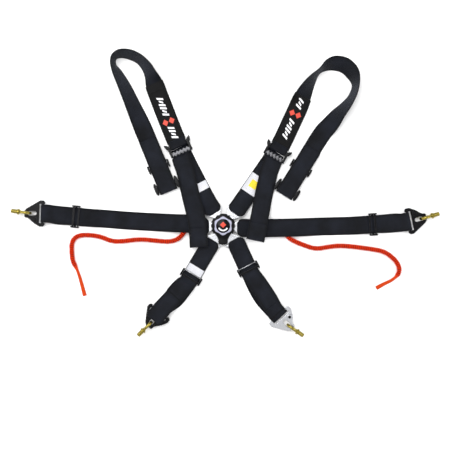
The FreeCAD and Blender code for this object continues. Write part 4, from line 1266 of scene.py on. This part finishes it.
def smooth_outline(points, rounds=3):
    """Corner-cut a closed outline, so that it turns smoothly."""
    line = np.array(points, float)
    for _ in range(rounds):
        after = np.roll(line, -1, axis=0)
        line = np.stack([0.75 * line + 0.25 * after, 0.25 * line + 0.75 * after], axis=1).reshape(-1, 2)
    return line.tolist()


cover_line = [(x / 1000, y / 1000) for x, y in BLOCK_COVER]
cover_line = cover_line + [(-x, y) for x, y in reversed(cover_line)]
points, faces = pressed_plate(smooth_outline(cover_line, 2), [], COVER_LOW, COVER_HIGH, 0.0009)
cover = new_object("buckle_block_cover", points, faces)
cover.data.set_sharp_from_angle(angle=math.radians(45))
cover.data.materials.append(black_moulding)
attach(cover, "buckle")


def badge_height(reach):
    """Height of the badge's dome at a distance from its middle."""
    return BADGE_TOP - (BADGE_TOP - BADGE_RIM - BADGE_EDGE) * (reach / BADGE_RADIUS) ** 2


def badge_tiles(name, shapes, material):
    """Printed tiles that follow the badge's dome, cut from convex outlines in metres."""
    points, faces = [], []
    for shape in shapes:
        start, corners = len(points), len(shape)
        for level in (-PRINT_SINK, PRINT_THICK):
            points += [(x, y, badge_height(math.hypot(x, y)) + level) for x, y in shape]
        low, high = list(range(start, start + corners)), list(range(start + corners, start + 2 * corners))
        faces += [low[::-1], high]
        faces += [[low[k - 1], low[k], high[k], high[k - 1]] for k in range(corners)]
    made = new_object(name, points, faces, smooth=False)
    outward(made)
    made.data.materials.append(material)
    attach(made, "knob")
    return made


def arc_stroke(radius, width, start, finish, count=9):
    """Short tiles along a printed arc about the badge's middle, angles in degrees."""
    angles = np.radians(np.linspace(start, finish, count + 1))
    inner, outer = radius - width / 2, radius + width / 2
    corners = [[(r * math.cos(a), r * math.sin(a)) for r in (inner, outer)] for a in angles]
    return [[a[0], a[1], b[1], b[0]] for a, b in zip(corners, corners[1:])]


def lozenge(half, middle, bands=8):
    """Small tiles that fill a lozenge, so that they can follow the dome."""
    tiles = []
    levels = np.linspace(-1, 1, bands + 1)
    for low, high in zip(levels, levels[1:]):
        for left, right in zip(levels, levels[1:]):
            corners = [(left, low), (right, low), (right, high), (left, high)]
            tiles.append([(half * (u + v) / 2, middle + half * (v - u) / 2) for u, v in corners])
    return tiles


badge_tiles("badge_white_arc", arc_stroke(ARC_RADIUS, ARC_WIDTH, *ARC_SPAN), white_ink)
badge_tiles("badge_red_lozenge", lozenge(LOZENGE_HALF, LOZENGE_MIDDLE), red_ink)

# Its lighter edge colour is a painted highlight.
badge_gloss = plated("badge_gloss", (0.0025, 0.0025, 0.003), (0.03, 0.03, 0.03), metal=0.0, rough=(0.1, 0.2),
                     edge_paint_amount=0.2, gloss=0.12, relief=0.00001)
finish_node("knob_badge", badge_gloss)


def pad_outline(around=96):
    """Outline of the back pad: a disc that runs out into the lower block."""
    angle = np.linspace(0, 2 * math.pi, around, endpoint=False)
    reach = np.full(around, PAD_RADIUS)
    below = np.cos(angle + math.pi / 2)
    reach += PAD_TAIL * np.clip((below - PAD_TAIL_START) / 0.10, 0, 1) ** 0.8
    return angle, reach


angle, reach = pad_outline()
upper = [(share, PAD_BASE + PAD_HEIGHT * height) for share, height in PAD_RINGS]
lower = [(share, PAD_BASE) for share, height in PAD_RINGS]
rows = []
for share, height in upper + lower[::-1]:
    flat = share * reach
    rows.append(np.column_stack([flat * np.cos(angle), flat * np.sin(angle), np.full(len(angle), height)]))
points = np.vstack(rows)
count = len(angle)
faces = grid_faces(len(rows), count)[:, ::-1].tolist()
faces += [list(range(count)), list(range((len(rows) - 1) * count, len(rows) * count))[::-1]]
pad = new_object("buckle_back_pad_cushion", points, faces)
outward(pad)
pad_cloth = cloth_material("pad_cloth", (0.003, 0.003, 0.0035), (0.007, 0.007, 0.008), rib=3200, sheen=0.0)
layer = pad.data.uv_layers.new(name="Weave")
loops = np.zeros(len(pad.data.loops), int)
pad.data.loops.foreach_get("vertex_index", loops)
layer.data.foreach_set("uv", points[loops][:, :2].ravel())
pad.data.materials.append(pad_cloth)
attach(pad, "buckle")
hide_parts("buckle_back_pad")


# ---- shoulder adjusters and wrap brackets --------------------------------------------------------
# Tilt-lock adjusters of black plated steel: two eared cheeks, a smooth bar, a knurled bar and a grip plate
# with a waved edge. Each strap's far end is folded through a thick-sided wrap bracket.

CHEEK_INNER, CHEEK_OUTER = 0.0252, 0.0318
CHEEK_PROFILE = [
    (-25, 5), (-18, 3.4), (3, 3.4), (7, 6), (9.5, 10.6), (8, 12.3), (3, 11.6), (-14, 12.6), (-24, 12.6),
]
EAR = [
    (-0.003, 0.0280), (0.0005, 0.0350), (0.0110, 0.0385),
    (0.0165, 0.0375), (0.0130, 0.0330), (0.0110, 0.0280),
]
EAR_LEVELS = (0.0085, 0.0122)
CHEEK_ROUND = 0.0007
EDGE_ROUND = 0.0006
BAR_RADIUS, BAR_END, BAR_HEIGHT = 0.0031, 0.0020, 0.0072
GRIP_EDGES = (-0.0235, -0.0130)
GRIP_WAVE = 0.0019
GRIP_LEVELS = (0.0112, 0.0134)
BRACKET_HALF = 0.0328
BRACKET_REACH = (-0.0262, 0.0032)
BRACKET_LEVELS = (0.0076, 0.0104)
WINDOW_HALF = 0.0257
WINDOW_REACH = (-0.0205, -0.003)
SIDE_REACH = (-0.0305, 0.0040)
SIDE_SPAN = (0.0254, 0.0352)
SIDE_LEVELS = (0.0060, 0.0124)
SIDE_ROUND = 0.0012


def sideways(points):
    """Turn a plate drawn in (x, z) so that its thickness lies across the strap."""
    return points[:, [0, 2, 1]]


def waved_plate(half, edges, wave, pitch=0.0098, count=72):
    """Outline of a plate across the strap whose two long edges wave."""
    y = np.linspace(-half, half, count)
    near = np.column_stack([edges[0] + wave * np.sin(2 * math.pi * y / pitch), y])
    far = np.column_stack([edges[1] + wave * np.sin(2 * math.pi * y / pitch + 1.2), y])
    return near.tolist() + far[::-1].tolist()


def metal_piece(name, shapes, spot, material, body, replaced):
    """One finished piece of several closed shapes, set down at its place."""
    points, faces = joined(shapes)
    made = new_object(name, set_down(points, spot), faces)
    outward(made)
    made.data.set_sharp_from_angle(angle=SHARP_ANGLE)
    made.data.materials.append(material)
    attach(made, body)
    if replaced:
        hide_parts(replaced)
    return made


def box_outline(reach, span):
    """The four corners of a plate, from its reach along X and its span across."""
    return [(reach[0], span[0]), (reach[1], span[0]), (reach[1], span[1]), (reach[0], span[1])]


def adjuster_shapes():
    """Two eared cheeks and the smooth bar that joins them."""
    profile = [(x / 1000, z / 1000) for x, z in CHEEK_PROFILE]
    shapes = []
    for sign in (-1, 1):
        low, high = sorted((sign * CHEEK_INNER, sign * CHEEK_OUTER))
        points, faces = pressed_plate(smooth_outline(profile, 2), [], low, high, CHEEK_ROUND)
        shapes.append((sideways(points), faces))
        ear = [(x, sign * y) for x, y in EAR]
        shapes.append(pressed_plate(smooth_outline(ear, 2), [], *EAR_LEVELS, EDGE_ROUND))
    chamfer = CHEEK_OUTER - 0.0003
    points, faces = turned_part([(-CHEEK_OUTER, BAR_END), (-chamfer, BAR_RADIUS),
                                 (chamfer, BAR_RADIUS), (CHEEK_OUTER, BAR_END)])
    shapes.append((points[:, [1, 0, 2]] + [0, 0, BAR_HEIGHT], faces))
    return shapes


def bracket_shapes():
    """A flat ring with one window, between two thick sides."""
    ring = box_outline(BRACKET_REACH, (-BRACKET_HALF, BRACKET_HALF))
    window = box_outline(WINDOW_REACH, (-WINDOW_HALF, WINDOW_HALF))
    shapes = [pressed_plate(smooth_outline(ring, 1), [window], *BRACKET_LEVELS, EDGE_ROUND)]
    for sign in (-1, 1):
        thick_side = [(x, sign * y) for x, y in box_outline(SIDE_REACH, SIDE_SPAN)]
        shapes.append(pressed_plate(smooth_outline(thick_side, 2), [], *SIDE_LEVELS, SIDE_ROUND))
    return shapes


for side, belt in SHOULDERS.items():
    metal_piece(side + "_tilt_adjuster", adjuster_shapes(), belt["adjuster"], black_plate,
                side + "_adjuster", side + "_adjuster_frame")
    outline = waved_plate(CHEEK_INNER + 0.0006, GRIP_EDGES, GRIP_WAVE)
    plate = pressed_plate(outline, [], *GRIP_LEVELS, EDGE_ROUND, 2)
    metal_piece(side + "_grip_plate", [plate], belt["adjuster"], black_plate_lit_edges, side + "_adjuster", None)
    finish_node(side + "_adjuster_bar", black_plate_lit_edges)
    metal_piece(side + "_wrap_bracket", bracket_shapes(), belt["end"], black_plate, side + "_wrap_end",
                side + "_end_frame")


# ---- slide rods ----------------------------------------------------------------------------------
# A thin bright rod lies on the inner bar of each leg belt's three-bar slide: a painted highlight along the
# bar's edge.

ROD_RADIUS = 0.0007
ROD_BACK = -0.0092
ROD_HEIGHT = 0.0101
ROD_HALF = 0.0262
ROD_CHAMFER = 0.0004
highlight_rod = plated("highlight_rod", (0.68, 0.69, 0.72), (0.85, 0.85, 0.88), rough=(0.15, 0.25))
for name in ("right_leg", "left_leg"):
    profile = [
        (-ROD_HALF, 0.6 * ROD_RADIUS), (-ROD_HALF + ROD_CHAMFER, ROD_RADIUS),
        (ROD_HALF - ROD_CHAMFER, ROD_RADIUS), (ROD_HALF, 0.6 * ROD_RADIUS),
    ]
    points, faces = turned_part(profile, around=12)
    rod = (points[:, [1, 0, 2]] + [ROD_BACK, 0, ROD_HEIGHT], faces)
    metal_piece(name + "_slide_rod", [rod], BELTS[name]["slide"], highlight_rod, name + "_belt", None)


# ---- light ---------------------------------------------------------------------------------------
# Even studio light: a large soft panel overhead, weaker ones low on both sides, and a surround that is grey
# low down and white overhead, so that the metal has something to reflect.

def panel(name, place, size, power):
    """A square soft light that faces the origin."""
    light = bpy.data.lights.new(name, "AREA")
    light.shape = "SQUARE"
    light.size = size
    light.energy = power
    holder = bpy.data.objects.new(name, light)
    holder.location = place
    bpy.context.scene.collection.objects.link(holder)
    x, y, z = place
    holder.rotation_euler = (math.atan2(math.hypot(x, y), z), 0, math.atan2(x, -y) if (x or y) else 0)
    return holder


panel("overhead_panel", (-0.6, 0.9, 2.6), 1.8, 55)
panel("left_panel", (-2.2, 0.2, 1.2), 1.2, 22)
panel("right_panel", (2.2, -0.3, 1.2), 1.2, 22)


def surround():
    """A world whose brightness goes from a grey low down to white overhead."""
    world = bpy.data.worlds.new("white_surround")
    world.use_nodes = True
    nodes, links = world.node_tree.nodes, world.node_tree.links
    sky = nodes["Background"]
    direction = nodes.new("ShaderNodeTexCoord")
    height_above = nodes.new("ShaderNodeSeparateXYZ")
    shade_of_sky = nodes.new("ShaderNodeValToRGB")
    links.new(direction.outputs["Generated"], height_above.inputs[0])
    links.new(height_above.outputs["Z"], shade_of_sky.inputs["Fac"])
    links.new(shade_of_sky.outputs["Color"], sky.inputs["Color"])
    shade_of_sky.color_ramp.elements[0].position = 0.22
    shade_of_sky.color_ramp.elements[0].color = (0.22, 0.22, 0.24, 1)
    shade_of_sky.color_ramp.elements[1].position = 0.62
    shade_of_sky.color_ramp.elements[1].color = (1, 1, 1, 1)
    sky.inputs["Strength"].default_value = 0.9
    return world


bpy.context.scene.world = surround()
bpy.context.scene.view_settings.view_transform = "Standard"
